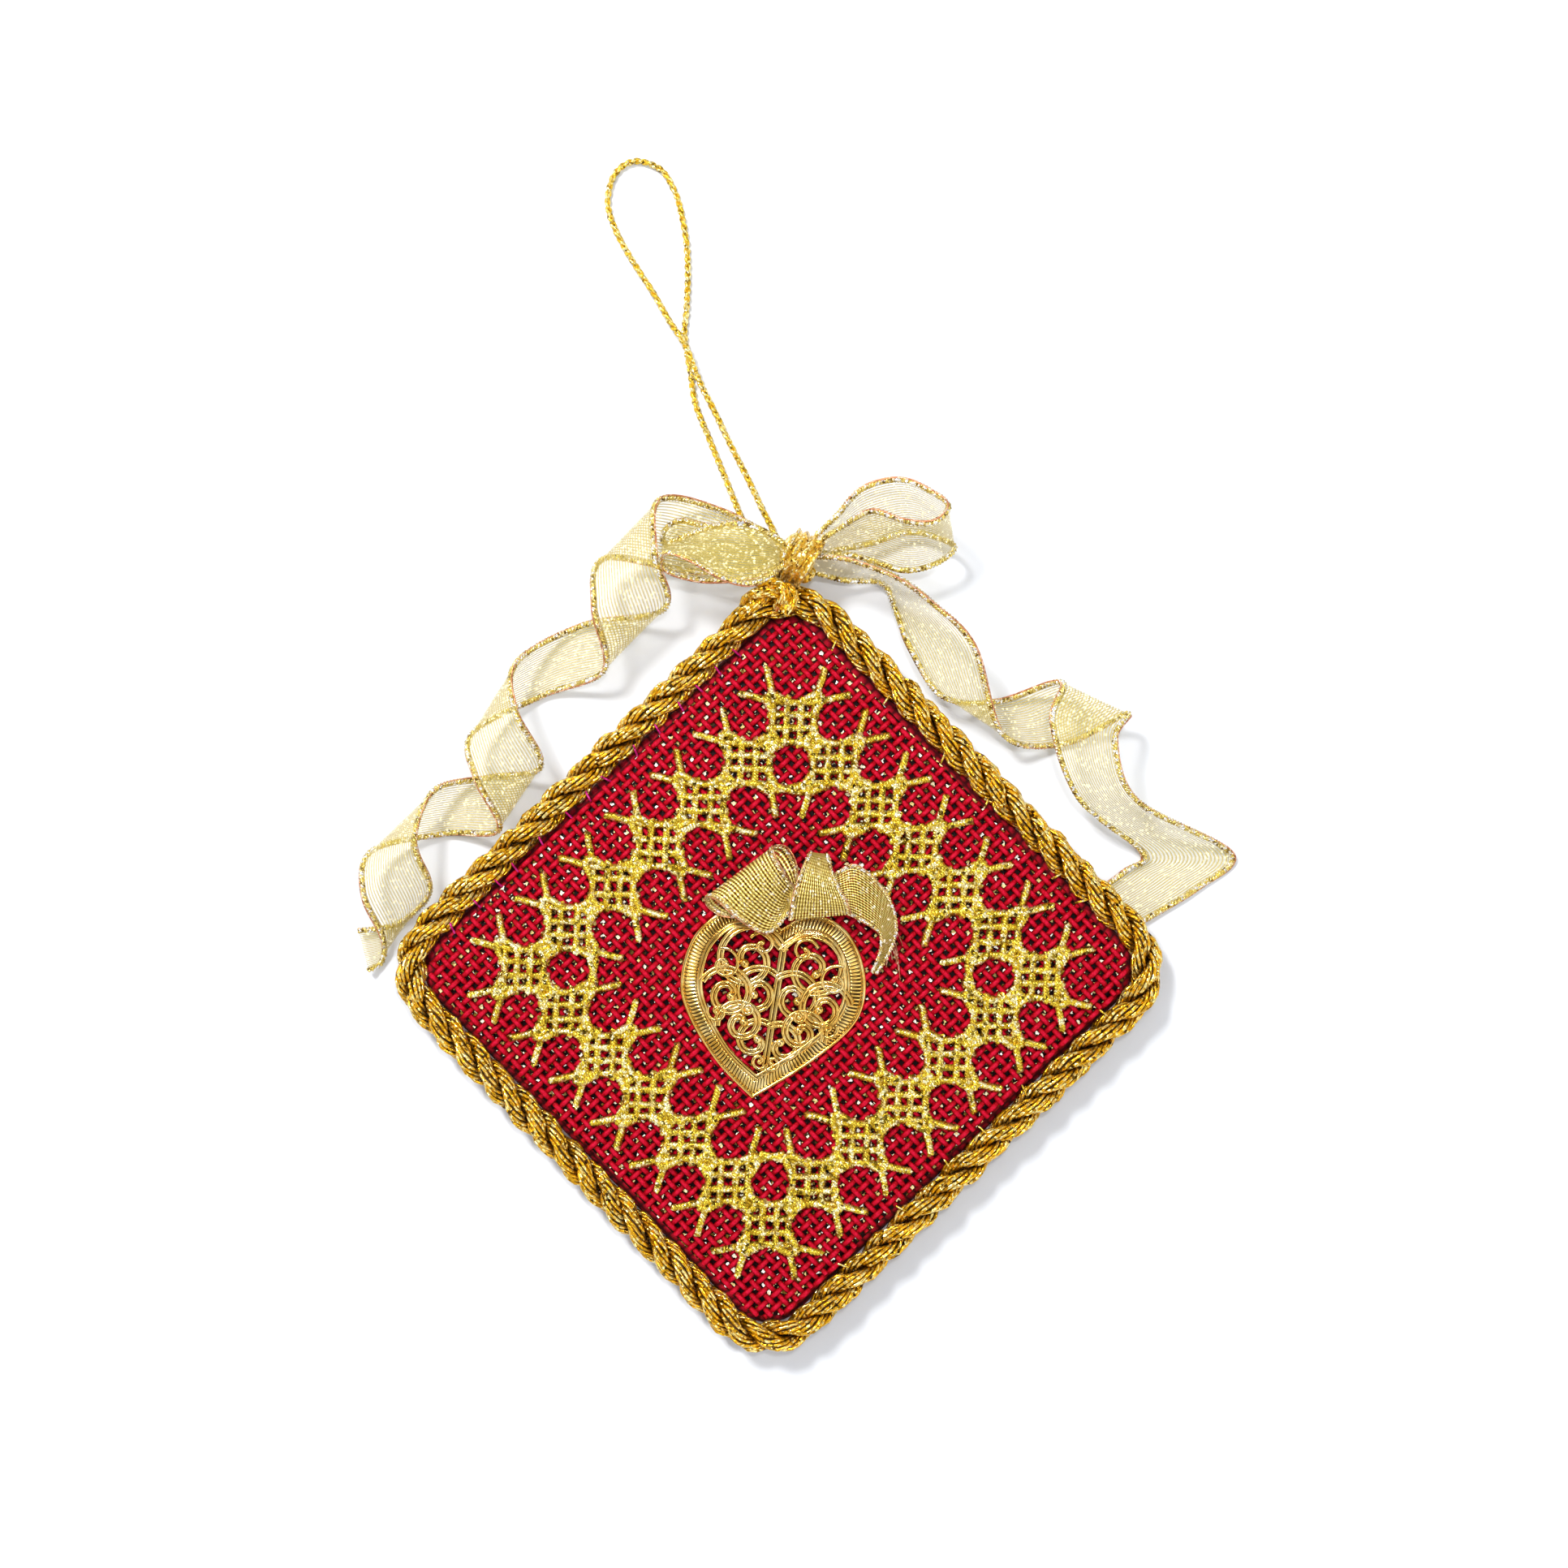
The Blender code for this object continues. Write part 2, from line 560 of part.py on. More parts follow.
def band(name, lines, origin, thickness, steps, cutters):
    """A ribbon of even thickness through straight lines across it."""
    first = smooth_curve([origin + Vector(a) * MM for a, _ in lines], steps)
    second = smooth_curve([origin + Vector(b) * MM for _, b in lines], steps)
    bm = bmesh.new()
    rings = []
    count = len(first)
    for i in range(count):
        ahead = min(i + 1, count - 1)
        behind = max(i - 1, 0)
        run = (first[ahead] + second[ahead]) - (first[behind] + second[behind])
        across = second[i] - first[i]
        lift = run.cross(across).normalized() * (thickness / 2)
        corners = (first[i] + lift, second[i] + lift, second[i] - lift, first[i] - lift)
        rings.append([bm.verts.new(corner) for corner in corners])
    skin(bm, rings, closed=False)
    bm.faces.new(rings[0])
    bm.faces.new(rings[-1])
    return add_object(name, mesh_of(bm, name), cutters)


def lump(name, centre, radii, cutters):
    """A gathered knot as an egg shape."""
    bm = bmesh.new()
    bmesh.ops.create_uvsphere(bm, u_segments=12, v_segments=8, radius=1.0)
    bmesh.ops.scale(bm, vec=radii, verts=bm.verts)
    bmesh.ops.translate(bm, vec=centre, verts=bm.verts)
    return add_object(name, mesh_of(bm, name), cutters)


def make_ribbon_bow(collection, cutters, surface):
    """One ribbon tied in a bow: two loops, two curled tails and the knot."""
    corner = outer_corner()
    origin = Vector((corner.x, corner.y, 0))
    pieces = [lump("knot", origin + KNOT_CENTRE, KNOT_RADII, cutters)]
    pieces.append(lump("knot_bulge", origin + KNOT_BULGE_CENTRE, KNOT_BULGE_RADII, cutters))
    runs = {
        "left_tail": LEFT_TAIL, "right_tail": RIGHT_TAIL,
        "left_loop": LEFT_LOOP, "right_loop": RIGHT_LOOP,
    }
    for name, lines in runs.items():
        pieces.append(band(name, lines, origin, RIBBON_THICKNESS, 4, cutters))
    return add_object("ribbon_bow", union_of(pieces, "ribbon_bow"), collection, surface)


def make_charm_bow(collection, cutters, surface):
    """The small bow over the heart's cleft: a left loop, a middle loop and a hanging tail."""
    origin = Vector((HEART_CENTRE.x, HEART_CENTRE.y, heart_base()))
    pieces = [lump("charm_knot", origin + CHARM_KNOT_CENTRE, CHARM_KNOT_RADII, cutters)]
    runs = {"charm_left": CHARM_LEFT, "charm_middle": CHARM_MIDDLE, "charm_right": CHARM_RIGHT}
    for name, lines in runs.items():
        pieces.append(band(name, lines, origin, CHARM_RIBBON_THICKNESS, 3, cutters))
    return add_object("charm_bow", union_of(pieces, "charm_bow"), collection, surface)


def make_hanging_loop(collection, surface):
    """The cord: out from under the corner, round its eye, over itself and back."""
    corner = outer_corner()
    origin = Vector((corner.x, corner.y, 0))
    route = smooth_curve([origin + Vector(p) * MM for p in CORD_ROUTE], 2)
    curve = bpy.data.curves.new("hanging_loop", "CURVE")
    curve.dimensions = "3D"
    curve.bevel_depth = CORD_DIAMETER / 2
    curve.bevel_resolution = 2
    curve.use_fill_caps = True
    spline = curve.splines.new("POLY")
    spline.points.add(len(route) - 1)
    for target, point in zip(spline.points, route):
        target.co = (*point, 1.0)
    return add_object("hanging_loop", curve, collection, surface)


def main():
    clear_scene()
    ornament = new_collection("heart ornament")
    cutters = new_collection("construction")
    cutters.hide_render = True
    canvas = material("red cotton canvas", (0.55, 0.007, 0.035), 0.8, 0.0)
    gold_thread = material("gold metallic thread", (0.62, 0.47, 0.1), 0.35, 0.8)
    gold_rope = material("gold metallic rope", (0.6, 0.38, 0.04), 0.35, 0.8)
    brass = material("stamped brass", (0.75, 0.52, 0.22), 0.2, 1.0)
    lame = material("gold lame ribbon", (0.5, 0.4, 0.18), 0.4, 0.7)
    organza = material("gold organza ribbon", (0.8, 0.72, 0.42), 0.5, 0.2)
    make_pad(ornament, canvas)
    make_rope(ornament, gold_rope)
    make_embroidery(ornament, gold_thread)
    make_heart(ornament, cutters, brass)
    make_charm_bow(ornament, cutters, lame)
    make_ribbon_bow(ornament, cutters, organza)
    make_hanging_loop(ornament, gold_thread)


main()
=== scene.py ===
"""Dresses the heart ornament: woven canvas, metallic embroidery, laid rope, stamped brass and
sheer wired ribbon over the frame's solids. Metres, +Z up, in the frame's own axes."""

import random
from math import atan2, cos, hypot, pi, radians, sin

import bmesh
import bpy
from mathutils import Matrix, Vector
from mathutils.kdtree import KDTree

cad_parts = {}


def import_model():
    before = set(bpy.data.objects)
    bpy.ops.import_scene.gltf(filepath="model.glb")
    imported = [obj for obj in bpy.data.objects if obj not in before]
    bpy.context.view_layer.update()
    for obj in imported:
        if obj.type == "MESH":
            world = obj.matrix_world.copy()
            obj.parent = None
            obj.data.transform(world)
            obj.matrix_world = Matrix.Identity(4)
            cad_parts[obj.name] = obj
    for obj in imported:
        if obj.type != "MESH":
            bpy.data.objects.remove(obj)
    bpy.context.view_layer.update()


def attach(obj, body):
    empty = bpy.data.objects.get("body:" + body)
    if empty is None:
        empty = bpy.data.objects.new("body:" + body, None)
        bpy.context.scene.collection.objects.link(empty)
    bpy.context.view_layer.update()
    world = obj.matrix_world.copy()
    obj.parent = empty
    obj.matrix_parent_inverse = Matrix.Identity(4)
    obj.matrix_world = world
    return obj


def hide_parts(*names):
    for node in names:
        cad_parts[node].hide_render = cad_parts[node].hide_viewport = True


MM = 0.001

# Edging and pad, as the solids have them
EDGING_LENGTH = 79.9 * MM
EDGING_WIDTH = 77.6 * MM
EDGING_TURN = radians(44.1)
EDGING_CORNER_RADIUS = 8.0 * MM
ROPE_WIDE = 4.7 * MM
ROPE_HEIGHT = 4.05 * MM
ROPE_LAY = 15.3 * MM
ROPE_STRANDS = 3
PAD_EDGE_TOP = 4.9 * MM
PAD_DOME = 2.0 * MM
PAD_DOME_POWER = 4
FIT_GAP = 0.3 * MM

# Rope: a reach is the distance of a strand's or yarn's middle line from the one it winds round
STRAND_REACH = 1.3 * MM
STRAND_CORE = 1.1 * MM
STRAND_YARNS = 8
YARN = 0.52 * MM
YARN_REACH = 0.76 * MM
YARN_LAY = 13.0 * MM
# How a yarn strays along the rope: by what share of its reach, and how many times
YARN_WANDER = ((0.17, 31), (0.13, 67), (0.09, 113))
# How much the yarns spread where their strand lies on top
YARN_SPREAD = 0.14
ROPE_END_SIZE = 0.66

# Pad
PAD_STEPS = 66
# The pad's side, upwards: how far it stands past its half length and width, and its height
PAD_SIDE = ((0.0, 1.2 * MM), (0.9 * MM, 2.4 * MM), (0.5 * MM, 3.2 * MM))
PAD_FRONT_INSET = 0.5 * MM
# From its lowest line down to the flat back: each step inwards, and the height that it reaches
PAD_UNDER = ((0.25 * MM, 0.35 * MM), (0.65 * MM, 0.0))
LINING_MARGIN = 0.9 * MM
SEWING_THREAD = 0.3 * MM

# Camera of the photograph: straight above this point, at this height over the floor
CAMERA_OVER = Vector((0.757, 26.32)) * MM
CAMERA_HEIGHT = 375.5 * MM
PHOTO_PIXELS = 1932
PIXEL = 0.1147 * MM
FRAMED_WIDTH = PHOTO_PIXELS * PIXEL
FRAMED_AT = 369.0 * MM

# Canvas: two threads cross at nearly a right angle
WARP_TURN = radians(42.6)
WARP_PITCH = 1.388 * MM
WEFT_TURN = radians(-46.2)
WEFT_PITCH = 1.434 * MM
CANVAS_THREAD = 0.8 * MM
# A thread's height over the pad's front, how far it rises and falls, and how short of the edge it ends
CANVAS_RISE = 0.28 * MM
CANVAS_WEAVE = 0.26 * MM
CANVAS_SHORT = 0.3 * MM
# Enough rows and crossings each way to cover the pad's diagonal
CANVAS_REACH = 53 * MM
CANVAS_CROSSINGS = 38
STEPS_A_CROSSING = 3

# Embroidery, in stitches along the canvas's diagonals
STITCH_ACROSS = Vector((2.016, -0.032)) * MM
STITCH_UP = Vector((0.095, 1.972)) * MM
RING_CENTRE = Vector((0.35, -0.36)) * MM
STARS_A_SIDE = 6
STAR_PITCH = 3
STITCH_LAY = 0.9 * MM
STITCH_PLY = 0.7 * MM
STITCH_PLY_REACH = 0.3 * MM
STITCH_BASE = 0.3 * MM

# Heart charm
HEART_CENTRE = Vector((-0.7, -5.6)) * MM
HEART_TILT = radians(-9.0)
HEART_RIBS = 150
# Outlines, clockwise from the notch at the top, in millimetres from the heart's middle
HEART_RIGHT = ((1.1, 11.7), (5.4, 13.6), (10.4, 11.3), (13.0, 5.1), (11.8, -1.5), (5.4, -7.3), (-3.1, -12.5))
HEART_LEFT = (
    (-3.1, -12.5), (-8.1, -7.3), (-12.2, -0.6), (-13.2, 4.6),
    (-11.1, 10.9), (-5.7, 14.9), (-0.9, 13.6), (1.1, 11.7),
)
OPENING_RIGHT = ((0.7, 8.4), (4.4, 10.5), (8.0, 9.2), (9.8, 4.6), (8.7, -0.4), (3.8, -5.0), (-2.4, -8.8))
OPENING_LEFT = (
    (-2.4, -8.8), (-6.1, -5.2), (-9.1, 0.2), (-9.9, 4.4),
    (-8.6, 9.0), (-5.2, 11.7), (-1.7, 10.6), (0.7, 8.4),
)
# Scrolls of the right half, which are mirrored to the left: outer end, middle and turns
SCROLLS = (
    ((-0.3, 8.6), (4.6, 6.6), -1.25),
    ((10.6, 2.6), (6.8, 1.4), 1.2),
    ((-0.3, 4.6), (2.7, 2.2), -1.2),
    ((7.6, -3.3), (4.3, -2.4), 1.15),
    ((-0.3, -2.2), (1.9, -4.6), -0.8),
)
# Finer curls that fill the gaps, laid out the same way
SMALL_SCROLLS = (
    ((8.8, 7.6), (7.9, 5.4), 1.0),
    ((4.8, 9.7), (3.0, 9.0), 0.9),
    ((9.2, -0.8), (7.8, -1.3), -1.0),
    ((4.4, 0.3), (3.6, -0.2), -1.0),
    ((-0.3, -7.6), (0.9, -7.2), 0.9),
)
SCROLL_STEM = ((0.0, 9.6), (0.0, -9.6))
SCROLL_HEIGHT = 1.0 * MM
SCROLL_BAR = 0.6 * MM
# Half the distance between a scroll's two bars, in millimetres
BAR_APART = 0.28
# A scroll's steps, the steps in which it makes its turns, and how far its radius shrinks in them
SCROLL_STEPS = 48
SCROLL_TURN_STEPS = 38
SCROLL_TIGHTENS = 0.68
RIB_DEPTH = 0.05 * MM
# Section of the frame: share of the width from outside in, height in mm, how far the ribs reach it
HEART_PROFILE = (
    (0.0, 0.0, 0), (0.0, 0.4, 0), (0.03, 0.68, 0), (0.08, 0.85, 0), (0.14, 0.86, 0), (0.18, 0.74, 0),
    (0.205, 0.56, 0), (0.23, 0.76, 0.6), (0.28, 0.84, 1), (0.64, 1.02, 1), (0.68, 1.04, 0.6),
    (0.705, 0.8, 0), (0.74, 1.22, 0), (0.79, 1.4, 0), (0.83, 1.22, 0), (0.86, 1.3, 0), (0.9, 1.5, 0),
    (0.95, 1.52, 0), (0.985, 1.3, 0), (1.0, 1.0, 0), (1.0, 0.0, 0), (0.5, 0.0, 0), (0.0, 0.0, 0),
)
# Where painted shade darkens that section: line of the profile, and how dark it is
RIBBED_BAND = ((6.5, 0.0), (7, 1.0), (10, 1.0), (10.5, 0.0))
FRAME_GROOVES = (
    (5.4, 0.0), (6, 0.9), (6.6, 0.0), (10.4, 0.0), (11, 1.0), (11.7, 0.0), (13.8, 0.0), (14.5, 0.8),
    (15.3, 0.0),
)

# How far a piece stands out, from where its painted shade is darkest to where it is brightest: over
# the pad's front, and for the rope from its middle line
CANVAS_CREST = (0.1 * MM, 0.95 * MM)
STITCH_CREST = (0.8 * MM, 1.65 * MM)
FRAME_CREST = (-1.0 * MM, 0.0)
SCROLL_CREST = (1.25 * MM, 1.7 * MM)
BEAD_CREST = (1.1 * MM, 1.8 * MM)
ROPE_CREST = (1.1 * MM, 2.1 * MM)

# Sizes of the materials' patterns
COTTON_FIBRE = 0.32 * MM
CORE_FIBRE = 0.4 * MM
LINING_FLECK = 0.42 * MM
RIBBON_FLECK = 0.28 * MM
BRASS_WEAR = 2.5 * MM
# Threads side by side across each ribbon, and those that cross the charm's along one piece
ORGANZA_THREADS = 24
LAME_THREADS = 20
LAME_CROSS_THREADS = 44

RIBBON_WIDTH = 11.0 * MM
CHARM_RIBBON_WIDTH = 10.0 * MM
CLOTH_THICKNESS = 0.12 * MM
# The share of the width at each side that only the woven edge covers
CLOTH_FROM = 0.03
# The woven edges' widths, and their threads' sizes as shares of them
RIBBON_EDGE = 1.25 * MM
WRAP_EDGE = 0.7 * MM
CHARM_RIBBON_EDGE = 0.85 * MM
EDGE_PLY = 0.42
EDGE_PLY_REACH = 0.2
EDGE_WIRE = 0.24
# Where the plies and the wire run, as shares of the ribbon's width
EDGE_PLIES_AT = 0.06
EDGE_WIRE_AT = 0.025
PLEAT_DEPTH = 0.32 * MM
# Pleated cloth's width over the width that it covers
FRAY = 0.13 * MM

# Ribbon: lines across it, as a point on each woven edge, in millimetres from the edging's
# outer corner in plan and from the floor in height
LEFT_TAIL = (
    (0.1, -1.6, 5.2, -0.3, 1.2, 6.0), (-13.1, -2.9, 1.3, -9.5, 6.9, 1.8),
    (-26.8, -1.2, 5.6, -18.1, 8.2, 5.6), (-28.1, -8.3, 10.8, -18.5, -0.1, 10.8),
    (-27.0, -17.0, 5.4, -17.4, -7.3, 5.4), (-36.0, -20.6, 0.8, -29.4, -9.2, 0.8),
    (-45.7, -26.2, 5.0, -38.5, -14.7, 5.0), (-44.5, -32.4, 9.6, -38.3, -21.8, 9.6),
    (-41.8, -39.7, 4.8, -35.1, -29.6, 4.8), (-50.0, -40.3, 0.8, -43.1, -31.2, 0.8),
    (-60.1, -42.7, 4.6, -50.1, -33.0, 4.6), (-60.7, -48.5, 7.8, -52.6, -40.3, 7.8),
    (-58.7, -54.9, 2.8, -51.1, -47.5, 2.8), (-58.8, -58.4, 0.7, -56.2, -52.3, 0.7),
    (-60.4, -59.7, 1.6, -62.0, -53.3, 1.6),
)
RIGHT_TAIL = (
    (1.8, -2.3, 4.6, 2.0, -0.5, 7.4), (7.6, -3.7, 2.0, 7.8, -1.0, 10.4),
    (13.0, -4.0, 0.9, 15.1, -3.9, 11.0), (14.7, -8.0, 1.6, 20.4, -7.6, 11.0),
    (16.4, -13.3, 3.6, 26.2, -13.3, 9.6), (21.0, -19.9, 5.2, 30.7, -26.0, 5.2),
    (29.2, -20.4, 0.8, 39.7, -27.3, 0.8), (37.8, -17.9, 5.0, 48.3, -23.0, 5.0),
    (36.1, -23.9, 9.4, 46.0, -26.6, 9.4), (40.2, -34.7, 6.6, 49.2, -35.0, 8.0),
    (49.7, -42.5, 1.4, 63.9, -42.6, 1.0), (47.5, -44.9, 0.6, 58.9, -47.9, 0.5),
    (44.2, -47.4, 0.7, 50.3, -53.0, 0.7),
)
RIGHT_LOOP = (
    (2.5, 1.7, 6.0, 2.5, -0.7, 5.0), (6.4, 5.3, 9.0, 6.5, 0.3, 4.0),
    (9.9, 9.2, 9.8, 11.1, 1.1, 2.4), (15.4, 10.4, 10.4, 17.0, 2.9, 1.8),
    (20.1, 8.2, 11.4, 21.4, 1.9, 2.6), (21.8, 6.2, 13.2, 23.3, 0.4, 4.4),
    (19.7, 4.0, 14.2, 20.4, -1.9, 5.6), (15.8, 4.2, 14.0, 16.2, -2.9, 5.6),
    (11.2, 5.7, 13.0, 12.1, -1.7, 5.2), (7.4, 3.8, 10.4, 8.2, -0.4, 5.2),
    (2.9, 0.9, 7.4, 2.9, -0.6, 6.4),
)
LEFT_LOOP = (
    (-0.7, 1.5, 5.4, -0.7, -1.5, 6.2), (-5.7, 4.0, 3.9, -5.1, -3.9, 7.8),
    (-12.3, 4.7, 3.4, -11.2, -4.6, 8.4), (-16.0, 5.3, 3.8, -15.3, -4.0, 8.8),
    (-18.0, 3.7, 4.6, -17.9, -2.8, 10.6), (-17.8, 1.5, 5.0, -17.5, -0.8, 14.0),
    (-14.3, 2.8, 6.2, -14.2, -1.9, 15.0), (-9.4, 4.4, 8.2, -9.2, -4.8, 14.4),
    (-4.6, 3.8, 8.8, -4.8, -5.2, 12.6), (-0.5, 1.1, 7.6, -0.5, -1.4, 7.4),
)
ROPE_END = ((-6.6, -8.2, 4.6), (-4.6, -6.0, 6.0), (-2.2, -4.9, 6.8), (-0.5, -6.0, 6.9), (-1.1, -8.2, 6.2))
KNOT_WRAP = (
    (1.4, 2.6, 4.2, 4.4, 1.6, 4.2), (1.0, 3.3, 6.3, 4.9, 1.6, 6.6),
    (0.4, 2.3, 8.5, 4.6, 0.4, 8.6), (-0.6, 0.7, 9.5, 3.6, -1.2, 9.7),
    (-1.5, -1.1, 8.9, 2.5, -2.9, 9.1), (-2.0, -2.6, 7.1, 1.5, -4.3, 7.2),
    (-2.1, -3.4, 4.9, 0.7, -4.8, 4.9),
)
# The charm's bow, from the heart's middle in plan and above its back in height
CHARM_LEFT = (
    (2.3, 14.2, 3.2, 3.3, 17.2, 3.2), (-0.9, 10.8, 3.6, 2.6, 18.3, 4.2),
    (-5.1, 12.9, 4.6, 1.3, 20.4, 5.0), (-8.2, 15.6, 4.4, 0.2, 22.6, 4.6),
    (-9.9, 15.8, 3.0, 0.4, 23.5, 3.4), (-9.2, 14.1, 1.9, 2.2, 23.3, 2.4),
    (-6.0, 13.0, 2.3, 3.5, 20.8, 2.8), (1.6, 14.3, 2.8, 3.5, 17.0, 3.0),
)
CHARM_MIDDLE = (
    (2.6, 15.3, 3.4, 4.7, 15.3, 3.4), (4.2, 17.8, 4.0, 7.8, 17.4, 4.2),
    (4.4, 21.2, 3.2, 8.1, 20.8, 3.2), (5.1, 22.4, 4.0, 7.6, 22.0, 4.0),
    (4.0, 20.6, 5.6, 8.5, 19.0, 5.8), (2.6, 16.8, 6.0, 10.3, 15.7, 6.2),
    (1.9, 12.9, 4.6, 11.0, 13.8, 5.2),
)
CHARM_RIGHT = (
    (3.4, 14.2, 2.7, 4.4, 16.6, 2.9), (9.5, 13.7, 2.5, 8.7, 19.7, 3.4),
    (12.2, 12.5, 2.5, 11.7, 20.8, 4.0), (14.7, 10.9, 2.3, 15.8, 16.9, 3.6),
    (15.0, 9.3, 1.9, 17.3, 12.1, 2.8), (14.6, 7.4, 1.3, 16.3, 8.2, 1.8),
    (13.8, 5.4, 0.8, 14.5, 5.2, 1.1),
)

# Hanging cord, measured as the large bow is
CORD_LAY = 2.3 * MM
CORD_PLY = 0.54 * MM
CORD_PLY_REACH = 0.23 * MM
CORD_ROUTE = (
    (-1.7, -7.4, 0.9), (-2.0, -4.1, 0.9), (-3.9, -0.6, 0.8), (-5.8, 3.1, 0.6), (-7.4, 6.3, 0.5),
    (-9.4, 11.2, 0.5), (-11.8, 17.1, 0.5), (-13.7, 21.9, 0.5), (-14.4, 26.3, 0.5),
    (-15.0, 29.7, 0.5), (-15.3, 32.3, 0.5), (-15.0, 35.3, 0.5), (-14.8, 40.6, 0.5),
    (-15.0, 45.0, 0.5), (-15.7, 49.1, 0.5), (-16.5, 52.0, 0.5), (-18.1, 55.0, 0.5),
    (-19.8, 56.2, 0.5), (-22.1, 56.8, 0.5), (-24.3, 56.0, 0.5), (-25.7, 54.1, 0.5),
    (-26.3, 51.3, 0.5), (-25.9, 48.7, 0.5), (-24.4, 45.3, 0.5), (-22.2, 41.6, 0.5),
    (-19.8, 37.9, 0.6), (-17.4, 33.7, 1.0), (-15.8, 31.3, 1.6), (-14.7, 29.2, 1.75),
    (-13.6, 26.2, 1.5), (-12.5, 23.8, 1.0), (-11.0, 20.9, 0.6), (-8.8, 16.3, 0.5),
    (-6.2, 11.2, 0.5), (-4.0, 6.6, 0.5), (-2.4, 3.4, 0.6), (-1.0, -0.6, 0.8),
    (-0.3, -4.1, 0.9), (0.0, -7.4, 0.9),
)

FLOOR_HALF = 1.5
LAMPS_AIM = (0.0, 0.02, 0.0)
# Name, place, size and power
LAMPS = (
    ("key softbox", (-0.28, 0.42, 0.62), 0.14, 5.2),
    ("fill softbox", (0.5, -0.25, 0.6), 0.5, 0.8),
    ("ring flash", (0.03, 0.1, 0.46), 0.03, 0.5),
)

ALONG = Vector((cos(EDGING_TURN), sin(EDGING_TURN)))
ACROSS = Vector((-sin(EDGING_TURN), cos(EDGING_TURN)))
PAD_HALF_LENGTH = (EDGING_LENGTH - ROPE_WIDE) / 2 - FIT_GAP
PAD_HALF_WIDTH = (EDGING_WIDTH - ROPE_WIDE) / 2 - FIT_GAP
PAD_CORNER_RADIUS = EDGING_CORNER_RADIUS - ROPE_WIDE / 2 - FIT_GAP
OUTER_CORNER = (
    ALONG * (EDGING_LENGTH + ROPE_WIDE) / 2 + ACROSS * (EDGING_WIDTH + ROPE_WIDE) / 2
).to_3d()

rng = random.Random(7)


def front_height(point):
    """Height of the pad's domed front above its back."""
    along = min(abs(point.x * ALONG.x + point.y * ALONG.y) / PAD_HALF_LENGTH, 1.0)
    across = min(abs(point.x * ACROSS.x + point.y * ACROSS.y) / PAD_HALF_WIDTH, 1.0)
    fall = (1 - along ** PAD_DOME_POWER) * (1 - across ** PAD_DOME_POWER)
    return PAD_EDGE_TOP + PAD_DOME * fall


def smooth_curve(points, steps):
    """Points on a Catmull-Rom curve through the given ones, with this many steps between two."""
    made = []
    last = len(points) - 1
    for i in range(last):
        before = points[max(i - 1, 0)]
        start = points[i]
        end = points[i + 1]
        after = points[min(i + 2, last)]
        for step in range(steps):
            t = step / steps
            made.append(
                0.5 * (2 * start + (end - before) * t
                       + (2 * before - 5 * start + 4 * end - after) * t * t
                       + (3 * start - before - 3 * end + after) * t * t * t)
            )
    made.append(points[-1].copy())
    return made


def lengths_along(points):
    """The distance along the line from its start to each point."""
    found = [0.0]
    for here, following in zip(points, points[1:]):
        found.append(found[-1] + (following - here).length)
    return found


def even_steps(lengths, count, wanted):
    """Even steps along a line: the number of the point before each, and its share of the way on."""
    found = []
    piece = 0
    for k in range(wanted):
        target = lengths[-1] * k / count
        while piece < len(lengths) - 2 and lengths[piece + 1] < target:
            piece += 1
        stretch = max(lengths[piece + 1] - lengths[piece], 1e-9)
        found.append((piece, (target - lengths[piece]) / stretch))
    return found


def even_points(points, spacing, closed=False):
    """The same line with points a set distance apart."""
    line = list(points) + ([points[0]] if closed else [])
    lengths = lengths_along(line)
    count = max(round(lengths[-1] / spacing), 2)
    steps = even_steps(lengths, count, count if closed else count + 1)
    return [line[i].lerp(line[i + 1], share) for i, share in steps]


def add_object(name, mesh, *materials):
    obj = bpy.data.objects.new(name, mesh)
    bpy.context.scene.collection.objects.link(obj)
    for surface in materials:
        mesh.materials.append(surface)
    return obj


def object_from(name, bm, *materials):
    mesh = bpy.data.meshes.new(name)
    bm.to_mesh(mesh)
    bm.free()
    return add_object(name, mesh, *materials)


def threads(name, lines, diameter, sides, surface):
    """Round threads along many lines, as one mesh. A line is (points, closed)."""
    curve = bpy.data.curves.new(name, "CURVE")
    curve.dimensions = "3D"
    curve.bevel_depth = diameter / 2
    curve.bevel_resolution = (sides - 4) // 2
    curve.use_fill_caps = True
    for points, closed in lines:
        spline = curve.splines.new("POLY")
        spline.points.add(len(points) - 1)
        spline.points.foreach_set("co", [c for p in points for c in (p.x, p.y, p.z, 1.0)])
        spline.use_cyclic_u = closed
        spline.use_smooth = True
    holder = bpy.data.objects.new(name, curve)
    bpy.context.scene.collection.objects.link(holder)
    graph = bpy.context.evaluated_depsgraph_get()
    mesh = bpy.data.meshes.new_from_object(holder.evaluated_get(graph))
    mesh.name = name
    bpy.data.objects.remove(holder, do_unlink=True)
    mesh.materials.clear()
    mesh.shade_smooth()
    return add_object(name, mesh, surface)


def plies(points, count, reach, lay, closed=False, start=0.0):
    """Lines of the plies twisted together round a line of close points."""
    total = len(points)
    lengths = lengths_along(points)
    whole = lengths[-1] + ((points[0] - points[-1]).length if closed else 0)
    turns = whole / lay
    if closed:
        turns = round(turns)
    found = [[] for _ in range(count)]
    for i in range(total):
        behind = points[i - 1] if closed or i else points[0]
        ahead = points[(i + 1) % total] if closed or i < total - 1 else points[-1]
        run = (ahead - behind).normalized()
        side = run.cross(Vector((0, 0, 1)))
        if side.length < 0.2:
            side = run.cross(Vector((0, 1, 0)))
        side.normalize()
        up = side.cross(run)
        for ply in range(count):
            angle = start + 2 * pi * (ply / count + turns * lengths[i] / whole)
            found[ply].append(points[i] + (side * cos(angle) + up * sin(angle)) * reach)
    return found


